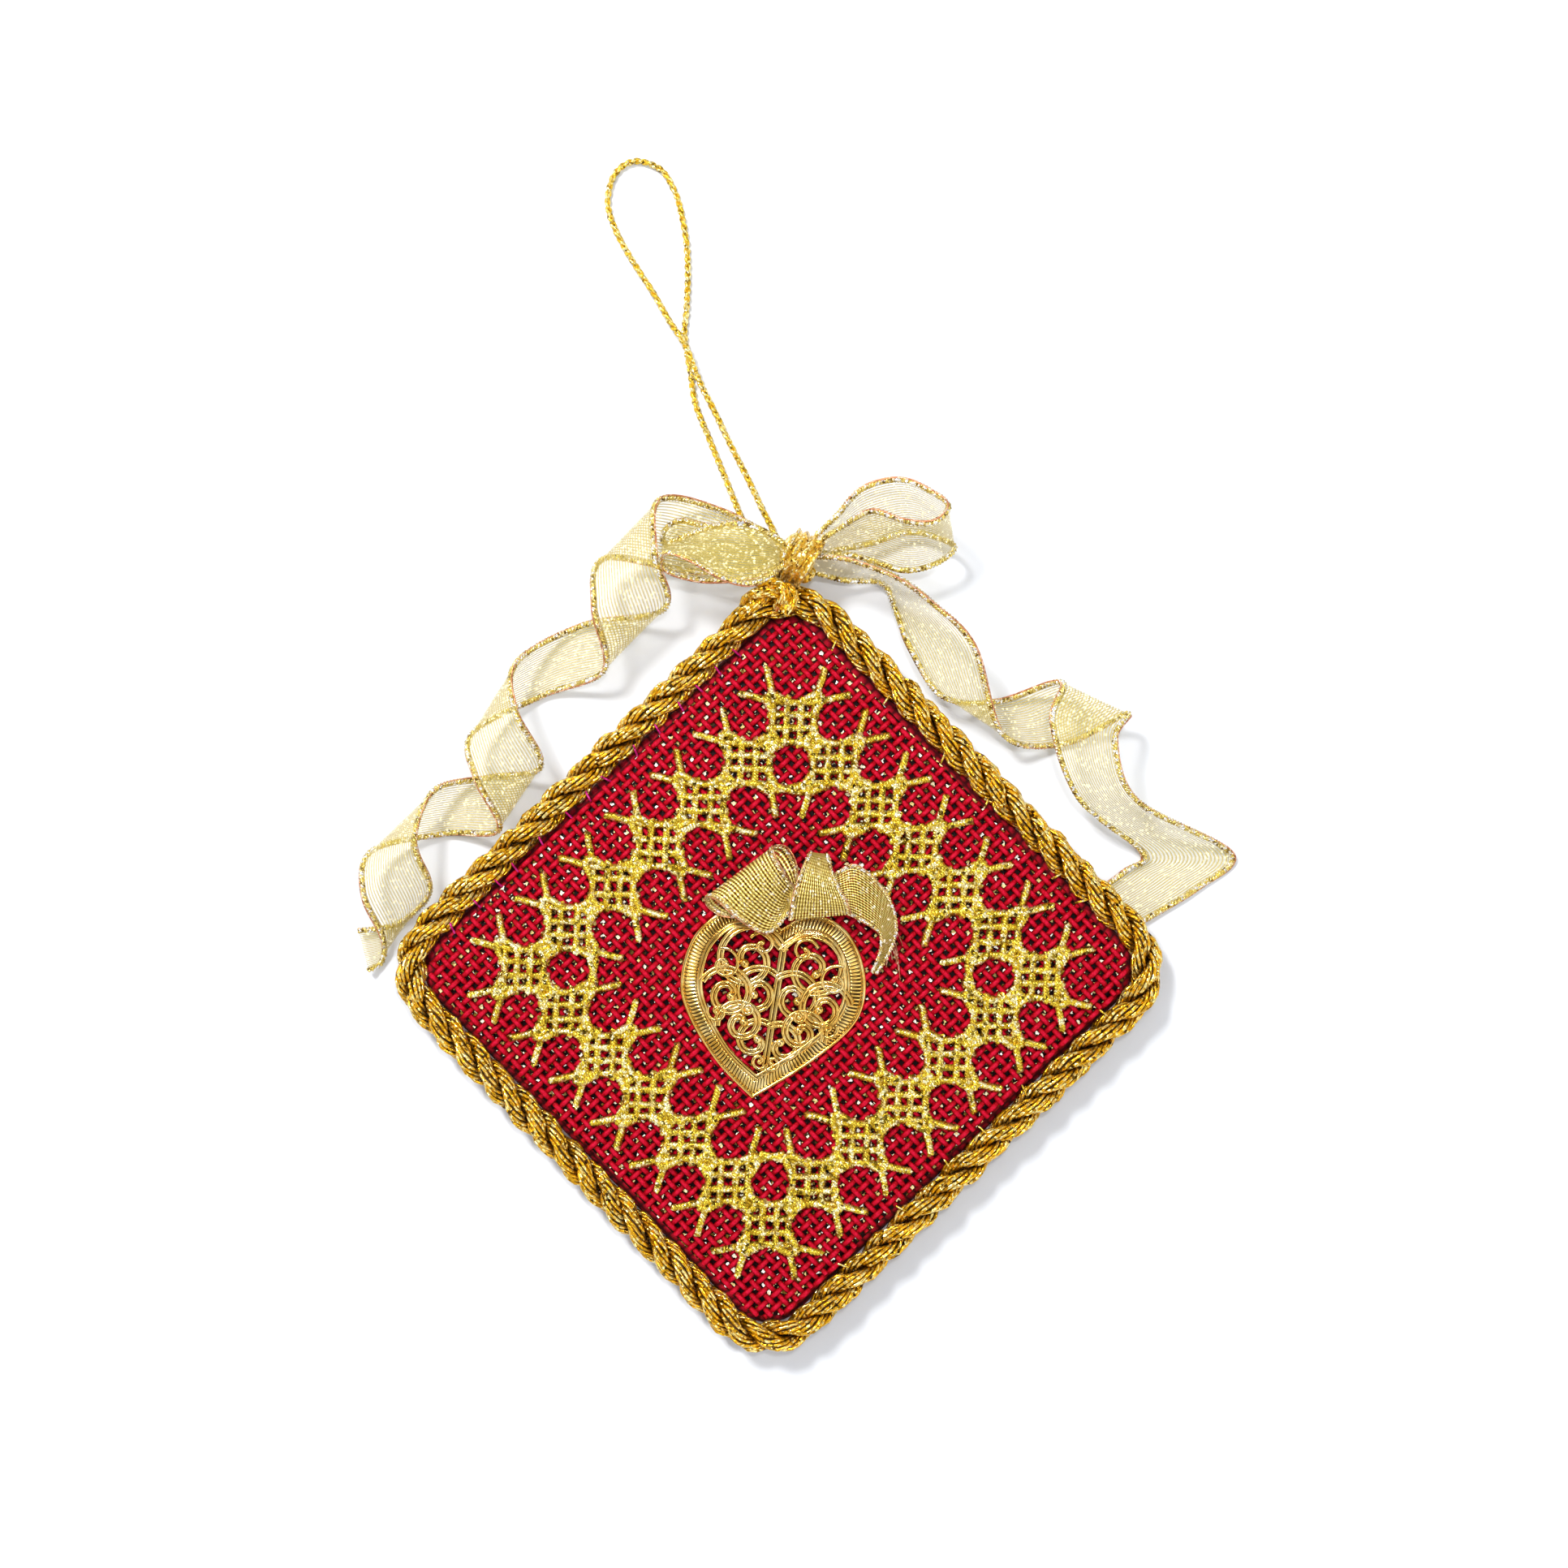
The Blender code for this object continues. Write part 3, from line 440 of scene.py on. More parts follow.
def patch(name, columns, rows, place, *materials, weld=False):
    """A flat grid laid onto a surface; place takes shares along and across."""
    bm = bmesh.new()
    bmesh.ops.create_grid(bm, x_segments=columns, y_segments=rows, size=0.5, calc_uvs=True)
    uv = bm.loops.layers.uv.active or bm.loops.layers.uv.new("UVMap")
    for face in bm.faces:
        face.smooth = True
        for loop in face.loops:
            loop[uv].uv = (loop.vert.co.x + 0.5, loop.vert.co.y + 0.5)
    for vertex in bm.verts:
        vertex.co = place(vertex.co.x + 0.5, vertex.co.y + 0.5)
    if weld:
        bmesh.ops.remove_doubles(bm, verts=bm.verts, dist=0.002 * MM)
        bmesh.ops.recalc_face_normals(bm, faces=bm.faces)
    return object_from(name, bm, *materials)


def colour(code):
    """Linear red, green and blue of an sRGB hex colour."""
    channels = [int(code[i:i + 2], 16) / 255 for i in (1, 3, 5)]
    linear = [c / 12.92 if c <= 0.04045 else ((c + 0.055) / 1.055) ** 2.4 for c in channels]
    return (*linear, 1.0)


def wire(tree, made, settings=None, links=None):
    """Sets a node's properties, inputs and colour stops, and feeds its inputs from other nodes."""
    for key, value in (settings or {}).items():
        if key == "stops":
            bar = made.color_ramp.elements
            bar[0].position = value[0][0]
            bar[1].position = value[-1][0]
            for place, _ in value[1:-1]:
                bar.new(place)
            for stop, (_, shade) in zip(bar, value):
                # A hex code is a colour, and a plain number is a share of a mask
                stop.color = colour(shade) if isinstance(shade, str) else (shade, shade, shade, 1.0)
        elif isinstance(key, str) and hasattr(made, key):
            setattr(made, key, value)
        else:
            made.inputs[key].default_value = value
    for key, source in (links or {}).items():
        tree.links.new(source, made.inputs[key])


def node(tree, kind, settings=None, links=None, output=0):
    """Adds one node with its settings and links, and gives back one of its outputs."""
    made = tree.nodes.new("ShaderNode" + kind)
    wire(tree, made, settings, links)
    return made.outputs[output]


def new_material(name):
    made = bpy.data.materials.new(name)
    made.use_nodes = True
    tree = made.node_tree
    return made, tree, tree.nodes["Principled BSDF"]


def flecks(tree, size):
    """Cells of about this size: the random colour of each, and one random share of each."""
    where = node(tree, "TexCoord", output="Object")
    cells = node(tree, "TexVoronoi", {"Scale": 1 / size}, {"Vector": where}, "Color")
    return cells, node(tree, "SeparateColor", None, {"Color": cells})


def waves(tree, share, count, kind="SINE"):
    """This many waves over a share that goes from 0 to 1."""
    angle = node(tree, "Math", {"operation": "MULTIPLY", 1: 2 * pi * count}, {0: share})
    return node(tree, "Math", {"operation": kind}, {0: angle})


def canvas_cotton():
    """Mercerised cotton canvas thread, dyed crimson: painted shade where it dips between the
    crossings and a painted highlight where it rises over them.
    """
    made, tree, shader = new_material("crimson cotton canvas, woven")
    where = node(tree, "TexCoord", output="Object")
    # Painted shade and highlight: the thread's low parts are dark and its crests pale
    crest = node(tree, "Attribute", {"attribute_name": "crest"}, output="Fac")
    fibre = node(tree, "TexNoise", {"Scale": 1 / COTTON_FIBRE, "Detail": 3.0}, {"Vector": where})
    part = node(tree, "Math", {"operation": "MULTIPLY", 1: 0.6}, {0: fibre})
    mixed = node(tree, "Math", {"operation": "MULTIPLY_ADD", 1: 0.62}, {0: crest, 2: part})
    stops = ((0.3, "#200002"), (0.52, "#780008"), (0.72, "#A60216"), (0.92, "#C81034"))
    shade = node(tree, "ValToRGB", {"stops": stops}, {"Fac": mixed})
    bump = node(tree, "Bump", {"Strength": 0.7, "Distance": 0.1 * MM}, {"Height": fibre})
    wire(tree, shader, {"Roughness": 0.6, "Specular IOR Level": 0.08}, {"Base Color": shade, "Normal": bump})
    return made


def lining_lame():
    """Dark lame backing under the canvas, seen through some of the holes, with painted glints: bright
    cells in its colour that also glow.
    """
    made, tree, shader = new_material("gold lame lining, woven")
    share = flecks(tree, LINING_FLECK)[1]
    # The top stops are painted glints, and the second ramp makes them glow
    stops = ((0.0, "#0C0002"), (0.68, "#220004"), (0.78, "#8A6A20"), (0.88, "#E8D488"), (1.0, "#FFFFFF"))
    shade = node(tree, "ValToRGB", {"stops": stops}, {"Fac": share})
    stops = ((0.0, "#000000"), (0.8, "#000000"), (0.88, "#CBB56F"), (1.0, "#FFFAEF"))
    painted_glint = node(tree, "ValToRGB", {"stops": stops}, {"Fac": share})
    wire(
        tree, shader, {"Emission Strength": 0.6, "Roughness": 0.5, "Specular IOR Level": 0.1},
        {"Base Color": shade, "Emission Color": painted_glint},
    )
    return made


def backing_cloth():
    """Plain-woven crimson cotton on the pad's back and sides, matt with a fine weave."""
    made, tree, shader = new_material("crimson cotton backing, woven")
    where = node(tree, "TexCoord", output="Object")
    turned = node(tree, "Mapping", {"Rotation": (0, 0, -WARP_TURN)}, {"Vector": where})
    # One band a thread, at the canvas's spacing: a wave texture of scale 1 repeats after pi / 10
    scale = pi / 10 / WEFT_PITCH
    rows, columns = [
        node(tree, "TexWave", {"bands_direction": way, "Scale": scale}, {"Vector": turned}, "Fac")
        for way in ("X", "Y")
    ]
    weave = node(tree, "Math", {"operation": "MULTIPLY"}, {0: rows, 1: columns})
    stops = ((0.0, "#46000A"), (0.25, "#900418"), (1.0, "#B00E2A"))
    shade = node(tree, "ValToRGB", {"stops": stops}, {"Fac": weave})
    bump = node(tree, "Bump", {"Strength": 0.8, "Distance": 0.25 * MM}, {"Height": weave})
    wire(tree, shader, {"Roughness": 0.85, "Specular IOR Level": 0.2}, {"Base Color": shade, "Normal": bump})
    return made


def metallic_thread(name, dark, middle, bright, roughness, fleck, tilt, paint_groove_shade=False):
    """Metallised film wound on a core: small flat facets, each leaning its own way, flash or go dark,
    and each is also painted a random brightness, from painted shade to a painted glint. With grooved
    set, painted shade darkens it where its mesh's crest says that it lies deep."""
    made, tree, shader = new_material(name)
    facet, share = flecks(tree, fleck)
    # Facets painted from dark to near white: painted shade and painted glints, beside the leaned normals
    stops = ((0.0, dark), (0.2, middle), (0.6, middle), (0.92, bright))
    shade = node(tree, "ValToRGB", {"stops": stops}, {"Fac": share})
    if paint_groove_shade:
        # Painted shade in the grooves, from the crest share
        crest = node(tree, "Attribute", {"attribute_name": "crest"}, output="Fac")
        stops = ((0.0, "#8B7345"), (0.35, "#D4C29E"), (0.65, "#FFFFFF"))
        deep = node(tree, "ValToRGB", {"stops": stops}, {"Fac": crest})
        mixing = {"data_type": "RGBA", "blend_type": "MULTIPLY", 0: 1.0}
        shade = node(tree, "Mix", mixing, {6: shade, 7: deep}, 2)
    centred = node(tree, "VectorMath", {"operation": "SUBTRACT", 1: (0.5, 0.5, 0.5)}, {0: facet})
    lean = node(tree, "VectorMath", {"operation": "SCALE", "Scale": tilt}, {0: centred})
    outward = node(tree, "NewGeometry", output="Normal")
    leaned = node(tree, "VectorMath", {"operation": "ADD"}, {0: lean, 1: outward})
    facing = node(tree, "VectorMath", {"operation": "NORMALIZE"}, {0: leaned})
    wire(tree, shader, {"Metallic": 0.75, "Roughness": roughness}, {"Base Color": shade, "Normal": facing})
    return made


def stamped_brass():
    """Pressed and gilt brass: bright and warm, with painted shade between the ribs, in the section's
    grooves and on the bars' lower sides.
    """
    made, tree, shader = new_material("gilt brass, stamped and polished")
    where = node(tree, "TexCoord", output="Object")
    wear = node(tree, "TexNoise", {"Scale": 1 / BRASS_WEAR, "Detail": 3.0}, {"Vector": where})
    stops = ((0.3, "#CC9A3E"), (0.5, "#E8BE64"), (0.7, "#FAE09A"))
    shade = node(tree, "ValToRGB", {"stops": stops}, {"Fac": wear})
    shares = node(tree, "SeparateXYZ", None, {"Vector": node(tree, "UVMap")}).node.outputs
    wave = waves(tree, shares["X"], HEART_RIBS, "COSINE")
    rib = node(tree, "Math", {"operation": "MULTIPLY_ADD", 1: 0.5, 2: 0.5}, {0: wave})
    gap = node(tree, "ValToRGB", {"stops": ((0.12, 0.95), (0.4, 0.0))}, {"Fac": rib})
    # The map's other way counts the profile's lines
    lines = len(HEART_PROFILE) - 1
    band, grooves = [
        node(tree, "ValToRGB", {"stops": [(k / lines, dark) for k, dark in marks]}, {"Fac": shares["Y"]})
        for marks in (RIBBED_BAND, FRAME_GROOVES)
    ]
    between = node(tree, "Math", {"operation": "MULTIPLY"}, {0: gap, 1: band})
    hollow = node(tree, "Math", {"operation": "MAXIMUM"}, {0: between, 1: grooves})
    # Painted shade darkens the bars' lower sides too
    crest = node(tree, "Attribute", {"attribute_name": "crest"}, output="Fac")
    stops = ((0.0, 1.0), (0.5, 0.5), (0.85, 0.0))
    low = node(tree, "ValToRGB", {"stops": stops}, {"Fac": crest})
    dark = node(tree, "Math", {"operation": "MAXIMUM"}, {0: hollow, 1: low})
    # All the darkening above is painted shade, mixed towards this dark brown
    mixing = {"data_type": "RGBA", 7: colour("#3C2608")}
    painted_shade_brass = node(tree, "Mix", mixing, {0: dark, 6: shade}, 2)
    wire(tree, shader, {"Metallic": 1.0, "Roughness": 0.17}, {"Base Color": painted_shade_brass})
    return made


def sheer_ribbon():
    """Metallic organza: fine lengthwise threads nearly half a millimetre apart with clear gaps, and
    painted sparkles that glow.
    """
    made, tree, shader = new_material("pale gold organza ribbon, woven")
    shares = node(tree, "SeparateXYZ", None, {"Vector": node(tree, "UVMap")}).node.outputs
    wave = waves(tree, shares["Y"], ORGANZA_THREADS)
    line = node(tree, "MapRange", {"From Min": -1.0, "From Max": 1.0}, {"Value": wave})
    stops = ((0.0, "#B29A3C"), (0.3, "#F0DC64"), (1.0, "#FFFAC8"))
    shade = node(tree, "ValToRGB", {"stops": stops}, {"Fac": line})
    stops = ((0.0, 0.6), (0.3, 0.26), (0.5, 0.08), (1.0, 0.04))
    thick = node(tree, "ValToRGB", {"stops": stops}, {"Fac": line})
    flash = flecks(tree, RIBBON_FLECK)[1]
    # Painted sparkles: rare cells turn opaque and glow
    painted_sparkle = node(tree, "ValToRGB", {"stops": ((0.92, 0.0), (0.96, 0.6))}, {"Fac": flash})
    solid = node(tree, "Math", {"operation": "MAXIMUM"}, {0: thick, 1: painted_sparkle})
    wire(
        tree, shader, {"Emission Strength": 0.8, "Roughness": 0.45},
        {"Base Color": shade, "Alpha": solid, "Emission Color": painted_sparkle},
    )
    return made


def lame_mesh():
    """The charm's ribbon: close lengthwise gold threads, open between them, with painted sparkles that glow.
    """
    made, tree, shader = new_material("gold lame ribbon, woven")
    shares = node(tree, "SeparateXYZ", None, {"Vector": node(tree, "UVMap")}).node.outputs
    wave = waves(tree, shares["Y"], LAME_THREADS)
    fine = waves(tree, shares["X"], LAME_CROSS_THREADS)
    both = node(tree, "Math", {"operation": "MULTIPLY_ADD", 1: 0.5}, {0: fine, 2: wave})
    level = node(tree, "MapRange", {"From Min": -1.4, "From Max": 1.4}, {"Value": both})
    stops = ((0.0, "#4A2A04"), (0.3, "#8E6418"), (0.6, "#D8B848"), (1.0, "#FFF2A0"))
    shade = node(tree, "ValToRGB", {"stops": stops}, {"Fac": level})
    stops = ((0.0, 0.15), (0.35, 0.4), (0.6, 1.0))
    thick = node(tree, "ValToRGB", {"stops": stops}, {"Fac": level})
    flash = flecks(tree, RIBBON_FLECK)[1]
    # Painted sparkles that glow
    painted_sparkle = node(tree, "ValToRGB", {"stops": ((0.94, "#000000"), (0.97, "#FFFDF8"))}, {"Fac": flash})
    bump = node(tree, "Bump", {"Strength": 0.7, "Distance": 0.12 * MM}, {"Height": level})
    wire(
        tree, shader, {"Emission Strength": 0.8, "Metallic": 0.65, "Roughness": 0.34},
        {"Base Color": shade, "Alpha": thick, "Emission Color": painted_sparkle, "Normal": bump},
    )
    return made


def core_yarn():
    """Cotton filling inside the rope, seen only between its yarns: near-black brown, painted shade for
    the gaps.
    """
    made, tree, shader = new_material("rope core, spun cotton")
    where = node(tree, "TexCoord", output="Object")
    fibre = node(tree, "TexNoise", {"Scale": 1 / CORE_FIBRE, "Detail": 2.0}, {"Vector": where})
    # Near-black: painted shade between the yarns
    shade = node(tree, "ValToRGB", {"stops": ((0.3, "#1C0E00"), (0.7, "#5A3804"))}, {"Fac": fibre})
    wire(tree, shader, {"Roughness": 0.9}, {"Base Color": shade})
    return made


def floor_paper():
    """Smooth uncoated paper: an even, nearly white ground that takes the shadow without a shine."""
    made, tree, shader = new_material("white background paper, uncoated")
    wire(tree, shader, {"Base Color": colour("#E4E7EC"), "Roughness": 0.9, "Specular IOR Level": 0.1})
    return made


def place_camera():
    lens = bpy.data.cameras.new("photograph camera")
    lens.sensor_width = 36.0
    lens.lens = 36.0 * FRAMED_AT / FRAMED_WIDTH
    lens.clip_start = 0.01
    camera = bpy.data.objects.new("photograph camera", lens)
    camera.location = (CAMERA_OVER.x, CAMERA_OVER.y, CAMERA_HEIGHT)
    bpy.context.scene.collection.objects.link(camera)
    bpy.context.scene.camera = camera


def hanging_cord(surface):
    """Two plies of gold cord, lying as the photograph shows it."""
    points = [OUTER_CORNER + Vector(p) * MM for p in CORD_ROUTE]
    fine = even_points(smooth_curve(points, 8), 0.28 * MM)
    lines = [(line, False) for line in plies(fine, 2, CORD_PLY_REACH, CORD_LAY)]
    cord = threads("hanging_cord", lines, CORD_PLY, 6, surface)
    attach(cord, "root")
    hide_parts("hanging_loop")
    tuple(points[0])
    lengths_along(fine)[-1]
    [tuple(p) for p in fine[::3]]


def pad_point(across_share, along_share):
    """A point of the pad's side or front from shares along its two sides, with rounded corners."""
    rings = len(PAD_SIDE)
    place = []
    border = []
    for share, half in ((along_share, PAD_HALF_LENGTH), (across_share, PAD_HALF_WIDTH)):
        step = round(share * PAD_STEPS)
        ring = min(step, PAD_STEPS - step)
        border.append(ring)
        if ring < rings:
            size = half + PAD_SIDE[ring][0]
            place.append(size if step > PAD_STEPS / 2 else -size)
        else:
            inner = half - PAD_FRONT_INSET
            place.append(inner * (2 * (step - rings) / (PAD_STEPS - 2 * rings) - 1))
    ring = min(border)
    centre = (PAD_HALF_LENGTH - PAD_CORNER_RADIUS, PAD_HALF_WIDTH - PAD_CORNER_RADIUS)
    over = [max(abs(p) - c, 0.0) for p, c in zip(place, centre)]
    if min(over) > 0:
        squeeze = max(over) / hypot(*over)
        place = [(c + o * squeeze) * (1 if p > 0 else -1) for p, c, o in zip(place, centre, over)]
    point = (ALONG * place[0] + ACROSS * place[1]).to_3d()
    point.z = PAD_SIDE[ring][1] if ring < rings else front_height(point)
    return point


def padded_square(lining, cloth):
    """The filled pad: dark lining in front, under the open canvas, and cloth behind."""
    bm = bmesh.new()
    bmesh.ops.create_grid(bm, x_segments=PAD_STEPS, y_segments=PAD_STEPS, size=0.5)
    for vertex in bm.verts:
        vertex.co = pad_point(vertex.co.y + 0.5, vertex.co.x + 0.5)
    edges = [e for e in bm.edges if e.is_boundary]
    for inset, height in PAD_UNDER:
        made = bmesh.ops.extrude_edge_only(bm, edges=edges)
        edges = [e for e in made["geom"] if isinstance(e, bmesh.types.BMEdge)]
        for vertex in {v for e in edges for v in e.verts}:
            inwards = Vector((vertex.co.x, vertex.co.y)).normalized() * inset
            vertex.co.x -= inwards.x
            vertex.co.y -= inwards.y
            vertex.co.z = height
    bmesh.ops.contextual_create(bm, geom=edges)
    bmesh.ops.recalc_face_normals(bm, faces=bm.faces)
    for face in bm.faces:
        middle = face.calc_center_median()
        # All but the flat back is smooth
        face.smooth = abs(face.normal.z) < 0.999 or middle.z > 1 * MM
        lined = face.normal.z > 0.35 and inside_pad(middle, LINING_MARGIN)
        face.material_index = 0 if lined else 1
    pad = object_from("padded_square_filling", bm, lining, cloth)
    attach(pad, "root")
    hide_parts("padded_square")


def inside_pad(point, margin):
    """Whether a point lies at least this far inside the pad's rounded outline."""
    along = abs(point.x * ALONG.x + point.y * ALONG.y)
    across = abs(point.x * ACROSS.x + point.y * ACROSS.y)
    if along > PAD_HALF_LENGTH - margin or across > PAD_HALF_WIDTH - margin:
        return False
    over = (along - PAD_HALF_LENGTH + PAD_CORNER_RADIUS, across - PAD_HALF_WIDTH + PAD_CORNER_RADIUS)
    return min(over) < 0 or hypot(*over) < PAD_CORNER_RADIUS - margin


def mark_crest(piece, standing, low, high):
    """Keeps how far each vertex stands out, as a share, for its material to paint shade on the low parts."""
    mesh = piece.data
    crest = mesh.attributes.new("crest", "FLOAT", "POINT")
    for vertex, value in zip(mesh.vertices, crest.data):
        value.value = min(max((standing(vertex.co) - low) / (high - low), 0.0), 1.0)


def over_front(point):
    return point.z - front_height(point)


def canvas_threads(name, turn, pitch, crossing_pitch, other_turn, phase, surface):
    """One set of the canvas's threads, passing over and under the other set in turn."""
    run = Vector((cos(turn), sin(turn)))
    step = Vector((cos(other_turn), sin(other_turn)))
    half = int(CANVAS_REACH / pitch)
    lines = []
    for row in range(-half, half + 1):
        points = []
        for k in range(-CANVAS_CROSSINGS * STEPS_A_CROSSING, CANVAS_CROSSINGS * STEPS_A_CROSSING + 1):
            crossing = k / STEPS_A_CROSSING
            flat = RING_CENTRE + step * (row * pitch) + run * (crossing * crossing_pitch)
            if not inside_pad(flat, CANVAS_SHORT):
                continue
            point = flat.to_3d()
            point.z = front_height(point) + CANVAS_RISE + CANVAS_WEAVE * cos(pi * (crossing + row + phase))
            points.append(point)
        if len(points) > STEPS_A_CROSSING:
            lines.append((points, False))
    piece = threads(name, lines, CANVAS_THREAD, 6, surface)
    # The canvas material paints shade low on the threads and a highlight on their crossings
    mark_crest(piece, over_front, *CANVAS_CREST)
    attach(piece, "root")


def star_centres():
    reach = STARS_A_SIDE * STAR_PITCH
    found = []
    for k in range(STARS_A_SIDE):
        step = STAR_PITCH * k
        found += [(-step, reach - step), (step - reach, -step), (step, step - reach), (reach - step, step)]
    return found


def star_stitches():
    """Stitches of one star: (points in stitch units, height in millimetres at each)."""
    outer = (
        (-3.85, 2.02), (-3.2, 1.9), (-2.4, 1.68), (-1.5, 1.5), (0.0, 1.42), (1.5, 1.5), (2.4, 1.68),
        (3.2, 1.9), (3.85, 2.02),
    )
    inner = ((-1.75, 0.5), (-0.6, 0.5), (0.6, 0.5), (1.75, 0.5))
    wrap = ((0.55, 1.4), (1.0, 1.72), (1.5, 1.98), (1.92, 1.92), (1.98, 1.5), (1.72, 1.0), (1.4, 0.55))
    level = 0.62
    lattice = 2
    tip = 3.2
    found = []
    for turn in range(4):
        spin = Matrix.Rotation(turn * pi / 2, 2)
        over = 1 if turn % 2 else -1
        for kind, line in enumerate((outer, inner, wrap)):
            points = []
            heights = []
            for flat in smooth_curve([Vector(p) for p in line], 4):
                points.append(spin @ flat)
                reach = abs(flat.x)
                weave = over * 0.28 * cos(pi * (flat.x + 1.5 + kind + (2 if turn > 1 else 0)))
                if line is wrap:
                    height = level + 0.5 * sin(pi * min(max((flat.x - 0.45) / 1.75, 0), 1))
                elif reach < lattice:
                    height = level + weave
                else:
                    fading = 1 - min((reach - lattice) / 0.8, 1)
                    height = level + weave * fading - 0.22 * max(reach - tip, 0)
                heights.append(height)
            found.append((points, heights))
    return found


def runs_over(spot, own, centres):
    """Whether a stitch would run on over the lattice of a neighbouring star."""
    return any(
        max(abs(spot.x - other[0]), abs(spot.y - other[1])) < 1.3 for other in centres if other != own
    )


def embroidery(surface):
    """The ring of stars: two-ply stitches that cross in a lattice and run out to eight points."""
    pattern = star_stitches()
    halves = {"embroidery_left": [], "embroidery_right": []}
    centres = star_centres()
    for centre in centres:
        left = centre[0] < 0 or (centre[0] == 0 and centre[1] > 0)
        lines = halves["embroidery_left" if left else "embroidery_right"]
        for stitch, heights in pattern:
            slip = Vector((rng.uniform(-0.08, 0.08), rng.uniform(-0.08, 0.08)))
            rise = rng.uniform(-0.08, 0.12)
            points = []
            for unit, height in zip(stitch, heights):
                units = Vector(centre) + unit + slip
                if runs_over(units, centre, centres):
                    continue
                flat = RING_CENTRE + STITCH_ACROSS * units.x + STITCH_UP * units.y
                point = flat.to_3d()
                point.z = front_height(point) + (height + rise) * MM + STITCH_BASE
                points.append(point)
            fine = even_points(points, STITCH_LAY / 4)
            for ply in plies(fine, 2, STITCH_PLY_REACH, STITCH_LAY, start=rng.random() * 6):
                lines.append((ply, False))
    for name, lines in halves.items():
        piece = threads(name, lines, STITCH_PLY, 6, surface)
        # The thread material paints shade on the stitches' low parts
        mark_crest(piece, over_front, *STITCH_CREST)
        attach(piece, "root")
        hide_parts("embroidery")


def edging_line():
    """The edging's middle line, as plain points."""
    corner = EDGING_CORNER_RADIUS
    found = []
    for quarter, signs in enumerate(((1, 1), (-1, 1), (-1, -1), (1, -1))):
        middle = Vector((signs[0] * (EDGING_LENGTH / 2 - corner), signs[1] * (EDGING_WIDTH / 2 - corner)))
        for step in range(13):
            angle = (quarter + step / 12) * pi / 2
            place = middle + Vector((cos(angle), sin(angle))) * corner
            point = (ALONG * place.x + ACROSS * place.y).to_3d()
            point.z = ROPE_HEIGHT
            found.append(point)
    return found


def laid_strands(path, lay, closed, lines, cores, size=1.0):
    """Adds three strands laid along a path, each of eight loose yarns round a core."""
    reach = STRAND_REACH * size
    for strand in plies(path, ROPE_STRANDS, reach, lay * size, closed=closed):
        cores.append((strand, closed))
        total = len(strand)
        start = rng.uniform(0, 2 * pi)
        for yarn in plies(strand, STRAND_YARNS, YARN_REACH * size, YARN_LAY, closed=closed, start=start):
            phases = [rng.uniform(0, 2 * pi) for _ in YARN_WANDER]
            placed = []
            for i, (point, middle) in enumerate(zip(yarn, strand)):
                turn = 2 * pi * i / total
                loose = sum(
                    share * sin(times * turn + phase) for (share, times), phase in zip(YARN_WANDER, phases)
                )
                loose += YARN_SPREAD * (middle.z - path[i].z) / reach
                placed.append(middle + (point - middle) * (1 + loose))
            lines.append((placed, closed))


def edging_rope(surface, core):
    """The laid rope round the edge, and its end turned over the top corner."""
    lines = []
    cores = []
    middle = even_points(edging_line(), 0.7 * MM, closed=True)
    laid_strands(middle, -ROPE_LAY, True, lines, cores)
    end = smooth_curve([OUTER_CORNER + Vector(p) * MM for p in ROPE_END], 6)
    laid_strands(even_points(end, 0.5 * MM), -ROPE_LAY, False, lines, cores, size=ROPE_END_SIZE)
    rope = threads("edging_rope_yarns", lines, YARN, 6, surface)
    # The material paints shade into the grooves between the strands
    nearest = KDTree(len(middle))
    for i, point in enumerate(middle):
        nearest.insert(point, i)
    nearest.balance()
    mark_crest(rope, lambda point: nearest.find(point)[2], *ROPE_CREST)
    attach(rope, "root")
    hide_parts("edging_rope")
    filling = threads("edging_rope_core", cores, STRAND_CORE, 6, core)
    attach(filling, "root")


def edge_stitches(gold, magenta):
    """Small sewing stitches between the canvas's edge and the rope."""
    margin = 6 * MM
    for name, surface, corners, spacing in (
        ("edge_stitches_gold", gold, ((1, 1), (1, -1), (-1, -1)), 10.0 * MM),
        ("edge_stitches_magenta", magenta, ((-1, 1), (1, 1)), 4.4 * MM),
    ):
        lines = []
        ends = [ALONG * PAD_HALF_LENGTH * a + ACROSS * PAD_HALF_WIDTH * b for a, b in corners]
        for first, last in zip(ends, ends[1:]):
            run = (last - first).normalized()
            outward = Vector((-run.y, run.x))
            outward *= 1 if outward.dot(first + last) > 0 else -1
            for k in range(int(((last - first).length - 2 * margin) / spacing)):
                place = first + run * (margin + spacing * (k + rng.uniform(0.2, 0.8)))
                slant = run * rng.uniform(-0.9, 0.9) * MM
                line = []
                for step in range(7):
                    share = step / 6
                    point = (place + outward * ((-0.5 + 1.5 * share) * MM) + slant * share).to_3d()
                    point.z = PAD_EDGE_TOP + (0.55 + 0.3 * sin(pi * share)) * MM
                    line.append(point)
                lines.append((line, False))
        piece = threads(name, lines, SEWING_THREAD, 6, surface)
        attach(piece, "root")


def outline_of(right, left, steps):
    first = smooth_curve([Vector(p) * MM for p in right], steps)
    second = smooth_curve([Vector(p) * MM for p in left], steps)
    return first[:-1] + second[:-1]


def heart_base():
    return front_height(HEART_CENTRE) + FIT_GAP


def facing_outlines(count):
    """Even steps round the heart's outline, each with the point of the opening that faces it."""
    outer = outline_of(HEART_RIGHT, HEART_LEFT, 40)
    inner = outline_of(OPENING_RIGHT, OPENING_LEFT, 40)
    for line in (outer, inner):
        line.append(line[0])
    return [
        (outer[i].lerp(outer[i + 1], share), inner[i].lerp(inner[i + 1], share))
        for i, share in even_steps(lengths_along(outer), count, count)
    ]


